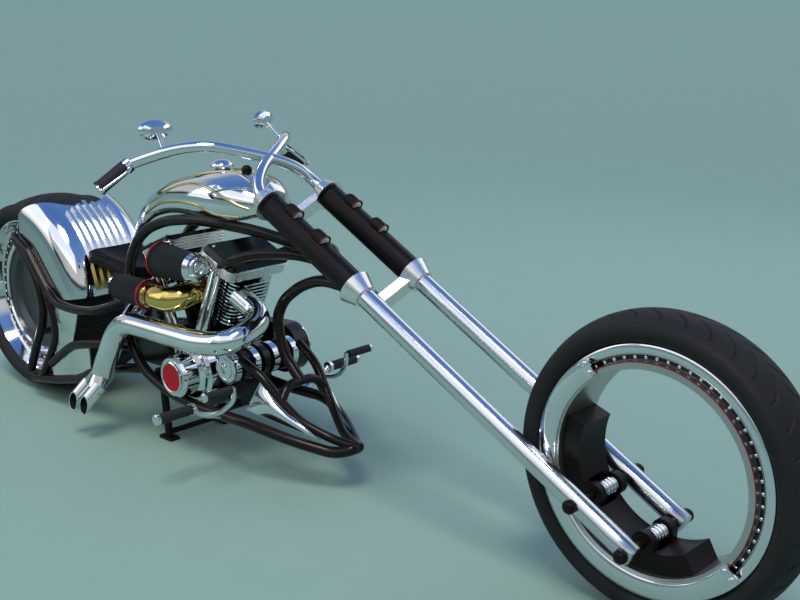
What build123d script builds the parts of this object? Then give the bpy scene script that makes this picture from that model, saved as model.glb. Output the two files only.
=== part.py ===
"""Long-fork chopper motorcycle with hubless wheels, parked upright on its centre stand.

Millimetres, +X forward, +Y to the rider's left, +Z up, tyres and stand feet on Z = 0.
Stations along the bike are given from the rear axle and placed by at().
"""
import os
from math import atan2, cos, degrees, radians, sin, tan

from build123d import *

# Driving dimensions: wheels and stance
WHEELBASE = 2407.0
REAR_TYRE_R = 338.0
FRONT_TYRE_R = 345.0
FIT_GAP = 0.3
RUN_GAP = 6.0

# Fork and steering
RAKE = 61.4
FORK_DROP = 152.0
FORK_TAIL = 85.0
FORK_LENGTH = 1322.0
FORK_HALF_GAP = 107.0
FORK_TUBE_R = 25.0
COVER_R = 35.0
LOWER_CLAMP_AT = 918.0
LOWER_CLAMP_T = 28.0
UPPER_CLAMP_T = 22.0
STEM_OFFSET = 80.0
STEM_R = 14.0
HEAD_TUBE_R = 28.0
HEAD_END_GAP = 1.0

# Frame tubes
RAIL_R = 16.0
INNER_TUBE_R = 13.0
TAIL_TUBE_R = 15.0
TAIL_HALF_W = 181.0

# Engine
CRANK_X = 873.0
CRANK_Z = 250.0
CYLINDER_TILT = 22.5
CASE_R = 122.0
CASE_HALF_W = 90.0

REAR_AXLE_X = -(WHEELBASE + FRONT_TYRE_R - REAR_TYRE_R) / 2


def at(x, y, z):
    return Vector(REAR_AXLE_X + x, y, z)


rear_centre = at(0, 0, REAR_TYRE_R)
front_centre = at(WHEELBASE, 0, FRONT_TYRE_R)
fork_up = Vector(-sin(radians(RAKE)), 0, cos(radians(RAKE)))
fork_ahead = Vector(cos(radians(RAKE)), 0, sin(radians(RAKE)))
fork_foot = front_centre - fork_ahead * FORK_DROP - fork_up * FORK_TAIL


def on_fork(station, y=0.0, ahead=0.0):
    return fork_foot + fork_up * station + fork_ahead * ahead + Vector(0, y, 0)


def fork_plane(station, y=0.0, ahead=0.0):
    # Local x is +Y, local y points to the rear of the fork, the normal runs up the fork.
    return Plane(origin=on_fork(station, y, ahead), x_dir=(0, 1, 0), z_dir=fork_up)


def side_plane(centre):
    # Local x is +X, local y is +Z, the normal points to the right of the bike.
    return Plane(origin=centre, x_dir=(1, 0, 0), z_dir=(0, -1, 0))


def section_plane(centre):
    # Local x is +Y, local y is +Z: a wheel's section, to be turned about its axle.
    return Plane(origin=centre, x_dir=(0, 1, 0), z_dir=(1, 0, 0))


def route(corners):
    return [at(*corner) for corner in corners]


def bend_radii(points, share):
    # Each bend is as wide as its two runs leave room for.
    radii = []
    for before, corner, after in zip(points, points[1:], points[2:]):
        come, go = corner - before, after - corner
        turn = radians(come.get_angle(go))
        radii.append(share * min(come.length, go.length) / tan(turn / 2))
    return radii


def tube(points, radius, share=0.45):
    with BuildPart() as bent:
        with BuildLine():
            FilletPolyline(*points, radius=bend_radii(points, share))
        with BuildSketch(Plane(origin=points[0], z_dir=points[1] - points[0])):
            Circle(radius)
        sweep()
    return bent.part


def rod(start, end, radius):
    with BuildPart() as straight:
        with BuildSketch(Plane(origin=start, z_dir=end - start)):
            Circle(radius)
        extrude(amount=(end - start).length)
    return straight.part


def other_side(piece):
    return mirror(piece, about=Plane.XZ)


def save(piece, node):
    piece.part.label = node
    export_step(piece.part, f"parts/{node}.step")


os.makedirs("parts", exist_ok=True)

# Wheels
FRONT_TYRE_HALF_W = 75.0
FRONT_BEAD_R = 284.0
FRONT_RIM_HALF_W = 60.0
FRONT_BEARING_R = 246.0
STUD_LAND_R = 257.0
STUD_LAND_DEPTH = 10.0
REAR_TYRE_HALF_W = 158.0
REAR_BEAD_R = 262.0
REAR_RIM_HALF_W = 138.0
REAR_BEARING_R = 188.0
REAR_LAND_HALF_W = 93.0
REAR_LAND_FROM_R, REAR_LAND_TO_R = 222.0, 240.0
REAR_LIP_HALF_W = 110.0
FRONT_SHOULDER = (54.0, 13.0)  # half width, drop below the crown
REAR_SHOULDER = (120.0, 24.0)
BEAD_INSET = 2.0


def tyre_ring(centre, outer_r, bead_r, half_w, bead_half_w, shoulder):
    shoulder_half_w, shoulder_r = shoulder[0], outer_r - shoulder[1]
    side_r = bead_r + 0.45 * (outer_r - bead_r)
    with BuildPart() as ring:
        with BuildSketch(section_plane(centre)):
            with BuildLine():
                ThreePointArc((-bead_half_w, bead_r), (-half_w, side_r), (-shoulder_half_w, shoulder_r))
                ThreePointArc((-shoulder_half_w, shoulder_r), (0, outer_r), (shoulder_half_w, shoulder_r))
                ThreePointArc((shoulder_half_w, shoulder_r), (half_w, side_r), (bead_half_w, bead_r))
                Line((bead_half_w, bead_r), (-bead_half_w, bead_r))
            make_face()
        revolve(axis=Axis(centre, (0, 1, 0)))
    return ring


front_tyre = tyre_ring(
    front_centre, FRONT_TYRE_R, FRONT_BEAD_R, FRONT_TYRE_HALF_W, FRONT_RIM_HALF_W - BEAD_INSET, FRONT_SHOULDER,
)
save(front_tyre, "front_tyre")
rear_tyre = tyre_ring(
    rear_centre, REAR_TYRE_R, REAR_BEAD_R, REAR_TYRE_HALF_W, REAR_RIM_HALF_W - BEAD_INSET, REAR_SHOULDER,
)
save(rear_tyre, "rear_tyre")


def rim_ring(centre, half_profile):
    right = [(-y, r) for y, r in reversed(half_profile)]
    with BuildPart() as ring:
        with BuildSketch(section_plane(centre)):
            with BuildLine():
                Polyline(*half_profile, *right, close=True)
            make_face()
        revolve(axis=Axis(centre, (0, 1, 0)))
    return ring


front_land_half_w = FRONT_RIM_HALF_W - STUD_LAND_DEPTH
front_rim = rim_ring(front_centre, [
    (front_land_half_w, FRONT_BEARING_R),
    (front_land_half_w, STUD_LAND_R),
    (FRONT_RIM_HALF_W, STUD_LAND_R + 3),
    (FRONT_RIM_HALF_W, FRONT_BEAD_R - 4),
    (FRONT_RIM_HALF_W - 4, FRONT_BEAD_R - FIT_GAP),
])
save(front_rim, "front_rim")

rear_rim = rim_ring(rear_centre, [
    (REAR_LIP_HALF_W - 6, REAR_BEARING_R),
    (REAR_LIP_HALF_W, REAR_BEARING_R + 4),
    (REAR_LIP_HALF_W, REAR_BEARING_R + 9),
    (REAR_LAND_HALF_W, REAR_LAND_FROM_R),
    (REAR_LAND_HALF_W, REAR_LAND_TO_R),
    (REAR_RIM_HALF_W, REAR_BEAD_R - 5),
    (REAR_RIM_HALF_W, REAR_BEAD_R - FIT_GAP),
])
save(rear_rim, "rear_rim")

# Front stator: the fixed ring that the front wheel turns on
STATOR_WALL = 18.0
STATOR_HALF_W = FRONT_RIM_HALF_W + RUN_GAP
GUARD_FROM, GUARD_TO = 127.0, 322.0
GUARD_T = 5.0
GUARD_OUTER_R = 278.0
stator_r = FRONT_BEARING_R - FIT_GAP
stator_bore_r = FRONT_BEARING_R - STATOR_WALL

with BuildPart() as front_stator:
    with BuildSketch(side_plane(front_centre)):
        Circle(stator_r)
        Circle(stator_bore_r, mode=Mode.SUBTRACT)
    extrude(amount=STATOR_HALF_W, both=True)
save(front_stator, "front_stator")


def sector(outer_r, inner_r, start, end):
    # Edges of a ring's sector, for the sketch that calls it.
    with BuildLine() as outline:
        outer = CenterArc((0, 0), outer_r, start, end - start)
        inner = CenterArc((0, 0), inner_r, start, end - start)
        Line(outer @ 0, inner @ 0)
        Line(outer @ 1, inner @ 1)
    return outline.line.edges()


guard_inner_r = stator_bore_r + 6
with BuildPart() as front_guards:
    for side in (-1, 1):
        with BuildSketch(side_plane(front_centre + Vector(0, side * STATOR_HALF_W, 0))):
            make_face(sector(GUARD_OUTER_R, guard_inner_r, GUARD_FROM, GUARD_TO))
        extrude(amount=-side * GUARD_T)
        for angle in (GUARD_FROM, GUARD_TO):
            with BuildSketch(side_plane(front_centre + Vector(0, side * (STATOR_HALF_W + GUARD_T), 0))):
                with Locations(Location((0, 0, 0), (0, 0, angle))):
                    with Locations(((GUARD_OUTER_R + guard_inner_r) / 2, 0)):
                        Rectangle(GUARD_OUTER_R - guard_inner_r - 6, 22)
            extrude(amount=-side * GUARD_T)
save(front_guards, "front_guards")

# Carrier: the black crescent between the stator and the cross-bars
CARRIER_FROM, CARRIER_TO = 160.0, 300.0
CARRIER_HALF_W = 52.0
CARRIER_BAND = 46.0
CROSSBAR_STATIONS = (16.0, 167.0)
CROSSBAR_R = 11.0
SLEEVE_R = 21.0
SLEEVE_HALF_W = 31.0
EAR_R = 27.0
carrier_r = stator_bore_r - FIT_GAP

with BuildPart() as front_carrier:
    with BuildSketch(side_plane(front_centre)):
        make_face(sector(carrier_r, carrier_r - CARRIER_BAND, CARRIER_FROM, CARRIER_TO))
        for station in CROSSBAR_STATIONS:
            bar = on_fork(station) - front_centre
            reach = (carrier_r - 10) - (bar.X ** 2 + bar.Z ** 2) ** 0.5
            with Locations(Location((bar.X, bar.Z, 0), (0, 0, degrees(atan2(bar.Z, bar.X))))):
                Circle(EAR_R)
                Rectangle(reach, 2 * EAR_R, align=(Align.MIN, Align.CENTER))
    extrude(amount=CARRIER_HALF_W, both=True)
    for station in CROSSBAR_STATIONS:
        with Locations(Location(on_fork(station), (90, 0, 0))):
            Cylinder(EAR_R + 8, 2 * (SLEEVE_HALF_W + FIT_GAP), mode=Mode.SUBTRACT)
            Cylinder(CROSSBAR_R + FIT_GAP, 3 * CARRIER_HALF_W, mode=Mode.SUBTRACT)
save(front_carrier, "front_carrier")

CROSSBAR_HEAD_T = 10.0
crossbar_half = FORK_HALF_GAP + FORK_TUBE_R + FIT_GAP
head_place = crossbar_half + CROSSBAR_HEAD_T / 2
with BuildPart() as fork_crossbars:
    for station in CROSSBAR_STATIONS:
        with Locations(Location(on_fork(station), (90, 0, 0))):
            Cylinder(CROSSBAR_R, 2 * crossbar_half)
            with Locations((0, 0, head_place), (0, 0, -head_place)):
                Cylinder(CROSSBAR_R + 5, CROSSBAR_HEAD_T)
save(fork_crossbars, "fork_crossbars")

with BuildPart() as crossbar_sleeves:
    for station in CROSSBAR_STATIONS:
        with Locations(Location(on_fork(station), (90, 0, 0))):
            Cylinder(SLEEVE_R - 4, 2 * SLEEVE_HALF_W)
            with Locations(*[(0, 0, k * 0.4 * SLEEVE_HALF_W) for k in (-2, -1, 0, 1, 2)]):
                Cylinder(SLEEVE_R, 0.22 * SLEEVE_HALF_W)
            Cylinder(CROSSBAR_R + FIT_GAP, 3 * SLEEVE_HALF_W, mode=Mode.SUBTRACT)
save(crossbar_sleeves, "crossbar_sleeves")

# Fork
upper_clamp_at = FORK_LENGTH - UPPER_CLAMP_T
lower_clamp_top = LOWER_CLAMP_AT + LOWER_CLAMP_T
with BuildPart() as fork_tubes:
    with BuildSketch(fork_plane(0)):
        with Locations((FORK_HALF_GAP, 0), (-FORK_HALF_GAP, 0)):
            Circle(FORK_TUBE_R)
    extrude(amount=FORK_LENGTH)
    chamfer(fork_tubes.edges().group_by(Axis.Z)[0], 3)
    for station in CROSSBAR_STATIONS:
        with Locations(Location(on_fork(station), (90, 0, 0))):
            Cylinder(CROSSBAR_R + FIT_GAP, 3 * FORK_HALF_GAP, mode=Mode.SUBTRACT)
save(fork_tubes, "fork_tubes")

with BuildPart() as fork_covers:
    with BuildSketch(fork_plane(lower_clamp_top)):
        with Locations((FORK_HALF_GAP, 0), (-FORK_HALF_GAP, 0)):
            Circle(COVER_R)
            Circle(FORK_TUBE_R + FIT_GAP, mode=Mode.SUBTRACT)
    extrude(amount=upper_clamp_at - lower_clamp_top)
    outer_edges = fork_covers.edges().filter_by(GeomType.CIRCLE).filter_by(lambda e: e.radius > COVER_R - 1)
    fillet(outer_edges, radius=COVER_R - FORK_TUBE_R - 2)
save(fork_covers, "fork_covers")

# Clamps: flared collars round the tubes, joined by webs to the steering stem
COLLAR_R = 47.0
COLLAR_NECK_R = 31.0
COLLAR_FLARE = 14.0
WEB_R = 24.0


def clamp(station, thickness, flare_up):
    with BuildPart() as yoke:
        for side in (-1, 1):
            with BuildSketch(fork_plane(station)):
                with Locations((side * FORK_HALF_GAP, 0)):
                    Circle(WEB_R)
                with Locations((0, STEM_OFFSET)):
                    Circle(WEB_R)
                make_hull()
            extrude(amount=thickness)
            wide = station if flare_up else station + thickness
            narrow = station + thickness + COLLAR_FLARE if flare_up else station - COLLAR_FLARE
            for level, radius in ((wide, COLLAR_R), (narrow, COLLAR_NECK_R)):
                with BuildSketch(fork_plane(level, side * FORK_HALF_GAP)):
                    Circle(radius)
            loft()
        for side in (-1, 1):
            with Locations(fork_plane(station, side * FORK_HALF_GAP)):
                Cylinder(FORK_TUBE_R + FIT_GAP, 6 * thickness, mode=Mode.SUBTRACT)
        with Locations(fork_plane(station, ahead=-STEM_OFFSET)):
            Cylinder(STEM_R + FIT_GAP, 6 * thickness, mode=Mode.SUBTRACT)
    return yoke


lower_clamp = clamp(LOWER_CLAMP_AT, LOWER_CLAMP_T, flare_up=False)
save(lower_clamp, "lower_clamp")
upper_clamp = clamp(upper_clamp_at, UPPER_CLAMP_T, flare_up=True)
save(upper_clamp, "upper_clamp")

STEM_NUT_R = 21.0
STEM_NUT_T = 14.0
with BuildPart() as steering_stem:
    with BuildSketch(fork_plane(LOWER_CLAMP_AT - STEM_NUT_T, ahead=-STEM_OFFSET)):
        Circle(STEM_NUT_R)
    extrude(amount=STEM_NUT_T)
    with BuildSketch(fork_plane(LOWER_CLAMP_AT, ahead=-STEM_OFFSET)):
        Circle(STEM_R)
    extrude(amount=FORK_LENGTH - LOWER_CLAMP_AT)
    with BuildSketch(fork_plane(FORK_LENGTH, ahead=-STEM_OFFSET)):
        RegularPolygon(STEM_NUT_R, 6)
    extrude(amount=STEM_NUT_T)
save(steering_stem, "steering_stem")

# Fork lamps: bullet housings on the front of the covers, lenses facing down the fork
LAMP_DROPS = (214.0, 102.0)  # below the upper clamp
LAMP_R = 18.0
LAMP_LENGTH = 30.0
LAMP_AHEAD = 36.0
LENS_R = 14.0
LENS_DEPTH = 6.0
lamp_places = [(upper_clamp_at - drop, side * FORK_HALF_GAP) for drop in LAMP_DROPS for side in (-1, 1)]

with BuildPart() as fork_lamps:
    for station, y in lamp_places:
        with Locations(fork_plane(station, y, LAMP_AHEAD)):
            Cylinder(LAMP_R, LAMP_LENGTH, align=(Align.CENTER, Align.CENTER, Align.MIN))
            with Locations((0, 0, LAMP_LENGTH)):
                Sphere(LAMP_R)
            Cylinder(LENS_R + FIT_GAP, 2 * LENS_DEPTH, mode=Mode.SUBTRACT)
    for station, y in lamp_places:
        with Locations(fork_plane(station, y)):
            Cylinder(COVER_R + FIT_GAP, 5 * LAMP_LENGTH, mode=Mode.SUBTRACT)
save(fork_lamps, "fork_lamps")

with BuildPart() as fork_lamp_lenses:
    for station, y in lamp_places:
        with Locations(fork_plane(station, y, LAMP_AHEAD)):
            Cylinder(LENS_R, LENS_DEPTH, align=(Align.CENTER, Align.CENTER, Align.MIN))
    for station, y in lamp_places:
        with Locations(fork_plane(station, y)):
            Cylinder(COVER_R + FIT_GAP, 5 * LAMP_LENGTH, mode=Mode.SUBTRACT)
save(fork_lamp_lenses, "fork_lamp_lenses")

# Handlebar: two tubes that rise from the fork tops, cross, and sweep back to the grips
BAR_R = 16.0
GRIP_R = 20.0
GRIP_LENGTH = 92.0
GRIP_END = 6.0
GRIP_LEAD = 20.0
BAR_BEND_SHARE = 0.32
BAR_CORNERS = [(42, FORK_HALF_GAP, 0), (100, 60, 30), (174, -60, 33), (259, -170, 19)]  # up, y, ahead


def on_bar(up, y, ahead):
    # A point of the controls, measured from the fork's top.
    return on_fork(FORK_LENGTH + up, y, ahead)


grip_start = on_bar(368, -288, -119)
grip_way = (on_bar(353, -366, -169) - grip_start).normalized()
bar_route = [
    on_fork(FORK_LENGTH, FORK_HALF_GAP),
    *[on_bar(*corner) for corner in BAR_CORNERS],
    grip_start - grip_way * GRIP_LEAD,
    grip_start + grip_way * (GRIP_LENGTH + GRIP_END),
]
right_bar = tube(bar_route, BAR_R, BAR_BEND_SHARE)
with BuildPart() as handlebar:
    for piece in (right_bar, other_side(right_bar)):
        add(piece)
    for side in (-1, 1):
        with BuildSketch(fork_plane(FORK_LENGTH, side * FORK_HALF_GAP)):
            Circle(FORK_TUBE_R)
        extrude(amount=COLLAR_FLARE)
save(handlebar, "handlebar")

right_grip = rod(grip_start, grip_start + grip_way * GRIP_LENGTH, GRIP_R)
bar_bore = tube(bar_route, BAR_R + FIT_GAP, BAR_BEND_SHARE)
with BuildPart() as grips:
    for piece in (right_grip, other_side(right_grip)):
        add(piece)
    for piece in (bar_bore, other_side(bar_bore)):
        add(piece, mode=Mode.SUBTRACT)
save(grips, "grips")

# Hand levers: a perch ring on the bar and a thin rod with a ball end
PERCH_R = 24.0
PERCH_W = 16.0
LEVER_R = 5.0
LEVER_BALL_R = 8.0
perch_end = grip_start - grip_way * FIT_GAP
lever_route = [
    perch_end - grip_way * (PERCH_W / 2) + Vector(BAR_R + LEVER_R + 1, 0, 0),
    perch_end + grip_way * 12 + Vector(GRIP_R + 14, 0, 0),
    on_bar(329, -373, -157),
]
right_perch = rod(perch_end - grip_way * PERCH_W, perch_end, PERCH_R)
right_lever = tube(lever_route, LEVER_R)
with BuildPart() as hand_levers:
    for piece in (right_perch, right_lever):
        add(piece)
        add(other_side(piece))
    for piece in (bar_bore, other_side(bar_bore)):
        add(piece, mode=Mode.SUBTRACT)
    for side in (-1, 1):
        ball = lever_route[-1]
        with Locations((ball.X, -side * ball.Y, ball.Z)):
            Sphere(LEVER_BALL_R)
save(hand_levers, "hand_levers")

# Mirrors: an oval dish on a thin stem, its glass facing the rider
MIRROR_HALF_L = 50.0
MIRROR_HALF_H = 28.0
MIRROR_DEPTH = 18.0
MIRROR_TURN = 15.0
MIRROR_STEM_R = 5.0
GLASS_T = 2.0
mirror_centre = on_bar(398, -193, -25)
mirror_ahead = Vector(cos(radians(MIRROR_TURN)), -sin(radians(MIRROR_TURN)), 0)
mirror_foot = on_bar(325, -210, -39)
DISH = ((0.0, 1.0), (0.5, 0.86), (1.0, 0.45))  # share of the depth, share of the oval


def mirror_plane(depth):
    return Plane(origin=mirror_centre + mirror_ahead * depth, x_dir=(0, 0, 1), z_dir=mirror_ahead)


mirror_stem = rod(mirror_foot, mirror_centre + mirror_ahead * (0.5 * MIRROR_DEPTH), MIRROR_STEM_R)
with BuildPart() as right_mirror:
    for depth, share in DISH:
        with BuildSketch(mirror_plane(GLASS_T + depth * MIRROR_DEPTH)):
            Ellipse(share * MIRROR_HALF_H, share * MIRROR_HALF_L)
    loft(ruled=True)
    add(mirror_stem)
    add(bar_bore, mode=Mode.SUBTRACT)
with BuildPart() as mirrors:
    add(right_mirror.part)
    add(other_side(right_mirror.part))
save(mirrors, "mirrors")

with BuildPart() as right_glass:
    with BuildSketch(mirror_plane(0)):
        Ellipse(MIRROR_HALF_H - 2, MIRROR_HALF_L - 2)
    extrude(amount=GLASS_T)
with BuildPart() as mirror_glasses:
    add(right_glass.part)
    add(other_side(right_glass.part))
save(mirror_glasses, "mirror_glasses")

# Frame routes: corners of the right-hand tubes, as x, y, z
UPPER_RAIL = [
    (1170, -60, 703), (1010, -90, 713), (894, -95, 710), (771, -95, 689),
    (682, -95, 656), (620, -95, 611), (581, -95, 549),
]
RAIL_KNEE = (570, -95, 503)
CRADLE_KNEE = (622, -150, 318)
CRADLE = [(690, -150, 226), (826, -150, 179), (1010, -150, 167), (1199, -150, 175), (1315, -105, 144)]
CRADLE_TOE = (1428, -42, 116)
NOSE = (1480, 0, 136)
INNER_TUBE = [(1120, -110, 338), (1200, -100, 299), (1253, -85, 241), (1313, -65, 186), (1398, -22, 144)]
STAY = [(1327, -62, 661), (1193, -95, 650), (1102, -120, 623), (1028, -96, 590)]
DOWN_TUBE = [(1339, 0, 585), (1255, 0, 553), (1186, 0, 502), (1155, 0, 449), (1159, 0, 390), (1187, 0, 332)]
ARCH = [(1258, -84, 236), (1248, -50, 276), (1248, 50, 276), (1258, 84, 236)]
TAIL_TOP = [(29, 552), (95, 526), (149, 466), (214, 398), (267, 364), (387, 362), (504, 380)]
TAIL_LOW = [(80, 72), (215, 92), (375, 130), (447, 168)]
HOOP_IN = [(29, 552), (113, 473), (158, 415), (176, 338), (158, 261), (113, 190), (60, 96)]
HOOP_OUT = [(206, 402), (242, 319), (251, 252), (209, 185), (140, 88)]
STRUT = [(204, 148), (346, 240), (443, 263)]
NECK_RAIL_AT = 1185.0
NECK_STAY_AT = 1122.0
NECK_DOWN_AT = 1012.0

rail_knee, cradle_knee = at(*RAIL_KNEE), at(*CRADLE_KNEE)
rail_drop = (cradle_knee - rail_knee).normalized()
rail_join = (rail_knee + cradle_knee) * 0.5
upper_rail_route = [on_fork(NECK_RAIL_AT, -20, -STEM_OFFSET), *route(UPPER_RAIL), rail_knee, rail_join]
stay_route = [on_fork(NECK_STAY_AT, -15, -STEM_OFFSET), *route(STAY)]
half_cradle = [rail_join + rail_drop * FIT_GAP, cradle_knee, *route(CRADLE), at(*CRADLE_TOE)]
cradle_route = [*half_cradle, at(*NOSE), *[Vector(p.X, -p.Y, p.Z) for p in reversed(half_cradle)]]
inner_route = [*route(INNER_TUBE), at(*NOSE)]
arch_route = route(ARCH)
arch_top = (arch_route[1] + arch_route[2]) * 0.5
down_route = [on_fork(NECK_DOWN_AT, 0, -STEM_OFFSET - 6), *route(DOWN_TUBE), arch_top]


def tail_route(corners):
    return [at(x, -TAIL_HALF_W, z) for x, z in corners]


head_from = lower_clamp_top + HEAD_END_GAP
head_to = upper_clamp_at - HEAD_END_GAP
head_low, head_high = on_fork(head_from, 0, -STEM_OFFSET), on_fork(head_to, 0, -STEM_OFFSET)
head_tube_clear = rod(head_low, head_high, HEAD_TUBE_R + FIT_GAP)
rail_clear = tube(upper_rail_route, RAIL_R + FIT_GAP)
cradle_clear = tube(cradle_route, RAIL_R + FIT_GAP)
arch_clear = tube(arch_route, INNER_TUBE_R + FIT_GAP)
inner_clear = tube(inner_route, INNER_TUBE_R + FIT_GAP)

with BuildPart() as frame_neck:
    with BuildSketch(fork_plane(head_from, ahead=-STEM_OFFSET)):
        Circle(HEAD_TUBE_R)
    extrude(amount=head_to - head_from)
    add(tube(down_route, RAIL_R))
    with BuildSketch(fork_plane(head_from, ahead=-STEM_OFFSET)):
        Circle(STEM_R + FIT_GAP)
    extrude(amount=head_to - head_from, mode=Mode.SUBTRACT)
    add(arch_clear, mode=Mode.SUBTRACT)
save(frame_neck, "frame_neck")

right_rail = tube(upper_rail_route, RAIL_R)
with BuildPart() as frame_upper_rails:
    for piece in (right_rail, other_side(right_rail)):
        add(piece)
    add(head_tube_clear, mode=Mode.SUBTRACT)
save(frame_upper_rails, "frame_upper_rails")

CROSS_TUBE_R = 13.0
FRONT_CROSS = (1022, 166)
STAND_CROSS = (726, 205)
with BuildPart() as frame_cradle:
    add(tube(cradle_route, RAIL_R))
save(frame_cradle, "frame_cradle")

DRUM_AT = (1062, 300)
DRUM_R = 46.0
DRUM_HALF_W = 112.0
drum_centre = at(DRUM_AT[0], 0, DRUM_AT[1])
drum_reach = Vector(0, DRUM_HALF_W, 0)
drum_clear = rod(drum_centre - drum_reach, drum_centre + drum_reach, DRUM_R + FIT_GAP)
right_inner = tube(inner_route, INNER_TUBE_R)
with BuildPart() as frame_inner_tubes:
    for piece in (right_inner, other_side(right_inner)):
        add(piece)
    add(tube(arch_route, INNER_TUBE_R))
    add(cradle_clear, mode=Mode.SUBTRACT)
    add(drum_clear, mode=Mode.SUBTRACT)
save(frame_inner_tubes, "frame_inner_tubes")

with BuildPart() as frame_cross_tubes:
    for x, z in (FRONT_CROSS, STAND_CROSS):
        with Locations(Location(at(x, 0, z), (90, 0, 0))):
            Cylinder(CROSS_TUBE_R, 2 * abs(CRADLE_KNEE[1]))
    add(cradle_clear, mode=Mode.SUBTRACT)
save(frame_cross_tubes, "frame_cross_tubes")

tail_low_route = [*tail_route(TAIL_LOW), at(600, -166, 214), at(690, -150, 226)]
tail_top_route = [*tail_route(TAIL_TOP), rail_join - rail_drop * 12]
strut_route = [*tail_route(STRUT), at(560, -166, 285), at(646, -150, 286)]
tail_tubes = [tail_top_route, tail_route(HOOP_IN), tail_route(HOOP_OUT), tail_low_route, strut_route]
with BuildPart() as frame_tail_right:
    for path in tail_tubes:
        add(tube(path, TAIL_TUBE_R))
    add(rail_clear, mode=Mode.SUBTRACT)
    add(cradle_clear, mode=Mode.SUBTRACT)
save(frame_tail_right, "frame_tail_right")
with BuildPart() as frame_tail_left:
    add(other_side(frame_tail_right.part))
save(frame_tail_left, "frame_tail_left")

# Rear drum: the fixed, dished hub that the rear wheel turns on, with lugs to the hoops
DRUM_FACE_HALF_W = 98.0
DRUM_DISH = 16.0
LUG_R = 12.0
LUG_PLACE_R = 168.0
LUG_ANGLES = (35.0, 0.0, -35.0)
hub_r = REAR_BEARING_R - FIT_GAP
hoop_clear = tube(tail_route(HOOP_IN), TAIL_TUBE_R + FIT_GAP)
with BuildPart() as rear_drum:
    with BuildSketch(section_plane(rear_centre)):
        with BuildLine():
            Polyline(
                (-DRUM_FACE_HALF_W, hub_r), (DRUM_FACE_HALF_W, hub_r), (DRUM_FACE_HALF_W, hub_r - 30),
                (DRUM_FACE_HALF_W - DRUM_DISH, hub_r - 44), (DRUM_FACE_HALF_W - DRUM_DISH, 0),
                (DRUM_DISH - DRUM_FACE_HALF_W, 0), (DRUM_DISH - DRUM_FACE_HALF_W, hub_r - 44),
                (-DRUM_FACE_HALF_W, hub_r - 30), close=True,
            )
        make_face()
    revolve(axis=Axis(rear_centre, (0, 1, 0)))
    with BuildSketch(side_plane(rear_centre)):
        for angle in LUG_ANGLES:
            with Locations((LUG_PLACE_R * cos(radians(angle)), LUG_PLACE_R * sin(radians(angle)))):
                Circle(LUG_R)
    extrude(amount=TAIL_HALF_W, both=True)
    for piece in (hoop_clear, other_side(hoop_clear)):
        add(piece, mode=Mode.SUBTRACT)
save(rear_drum, "rear_drum")

# Rear fender: a shell turned about the axle, its side walls ending on the tail tubes
FENDER_GAP = 28.0
FENDER_T = 5.0
FENDER_HALF_W = 172.0
FENDER_CROWN_HALF_W = 95.0
FENDER_WALL_R = 205.0
FENDER_FROM, FENDER_TO = 8.0, 90.0
FENDER_REAR_CUT_R = 178.0
fender_r = REAR_TYRE_R + FENDER_GAP


def fender_half(outer_r, half_w):
    # Half of the shell's section: crown line, shoulder arc, side wall.
    shoulder_r = outer_r - (half_w - FENDER_CROWN_HALF_W)
    bulge = 0.7071 * (half_w - FENDER_CROWN_HALF_W)
    middle = (FENDER_CROWN_HALF_W + bulge, shoulder_r + bulge)
    return (FENDER_CROWN_HALF_W, outer_r), middle, (half_w, shoulder_r)


tail_top_clear = tube(tail_top_route, TAIL_TUBE_R + FIT_GAP)
with BuildPart() as rear_fender:
    with BuildSketch(section_plane(rear_centre)):
        for outer_r, half_w, fill in (
            (fender_r, FENDER_HALF_W, Mode.ADD),
            (fender_r - FENDER_T, FENDER_HALF_W - FENDER_T, Mode.SUBTRACT),
        ):
            crown, middle, edge = fender_half(outer_r, half_w)
            with BuildLine():
                Line((-crown[0], crown[1]), crown)
                ThreePointArc(crown, middle, edge)
                Line(edge, (half_w, FENDER_WALL_R))
                Line((half_w, FENDER_WALL_R), (-half_w, FENDER_WALL_R))
                Line((-half_w, FENDER_WALL_R), (-edge[0], edge[1]))
                ThreePointArc((-edge[0], edge[1]), (-middle[0], middle[1]), (-crown[0], crown[1]))
            make_face(mode=fill)
    revolve(axis=Axis(rear_centre, (0, 1, 0)), revolution_arc=FENDER_TO - FENDER_FROM)
    with BuildSketch(side_plane(rear_centre)):
        with BuildLine():
            Polyline(*[(x, z - REAR_TYRE_R) for x, z in TAIL_TOP], (TAIL_TOP[-1][0], -REAR_TYRE_R),
                     (-REAR_TYRE_R, -REAR_TYRE_R), (-REAR_TYRE_R, TAIL_TOP[0][1] - REAR_TYRE_R), close=True)
        make_face()
    extrude(amount=2 * FENDER_HALF_W, both=True, mode=Mode.SUBTRACT)
    for piece in (tail_top_clear, other_side(tail_top_clear)):
        add(piece, mode=Mode.SUBTRACT)
    with Locations(rear_centre):
        Cylinder(FENDER_REAR_CUT_R, 4 * fender_r, mode=Mode.SUBTRACT)
save(rear_fender, "rear_fender")

# Fender ribs: raised bars along the fender's crown, the middle one longest
RIB_COUNT = 7
RIB_PITCH = 26.0
RIB_W = 12.0
RIB_H = 10.0
RIB_FROM = 11.0
RIB_TO_MIDDLE = 63.0
RIB_STEP = 2.0
with BuildPart() as fender_ribs:
    for k in range(RIB_COUNT):
        off_middle = k - (RIB_COUNT - 1) / 2
        rib_to = RIB_TO_MIDDLE - RIB_STEP * abs(off_middle)
        with BuildSketch(side_plane(rear_centre + Vector(0, off_middle * RIB_PITCH, 0))):
            make_face(sector(fender_r + RIB_H, fender_r + FIT_GAP, RIB_FROM, rib_to))
        extrude(amount=RIB_W / 2, both=True)
save(fender_ribs, "fender_ribs")

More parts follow.
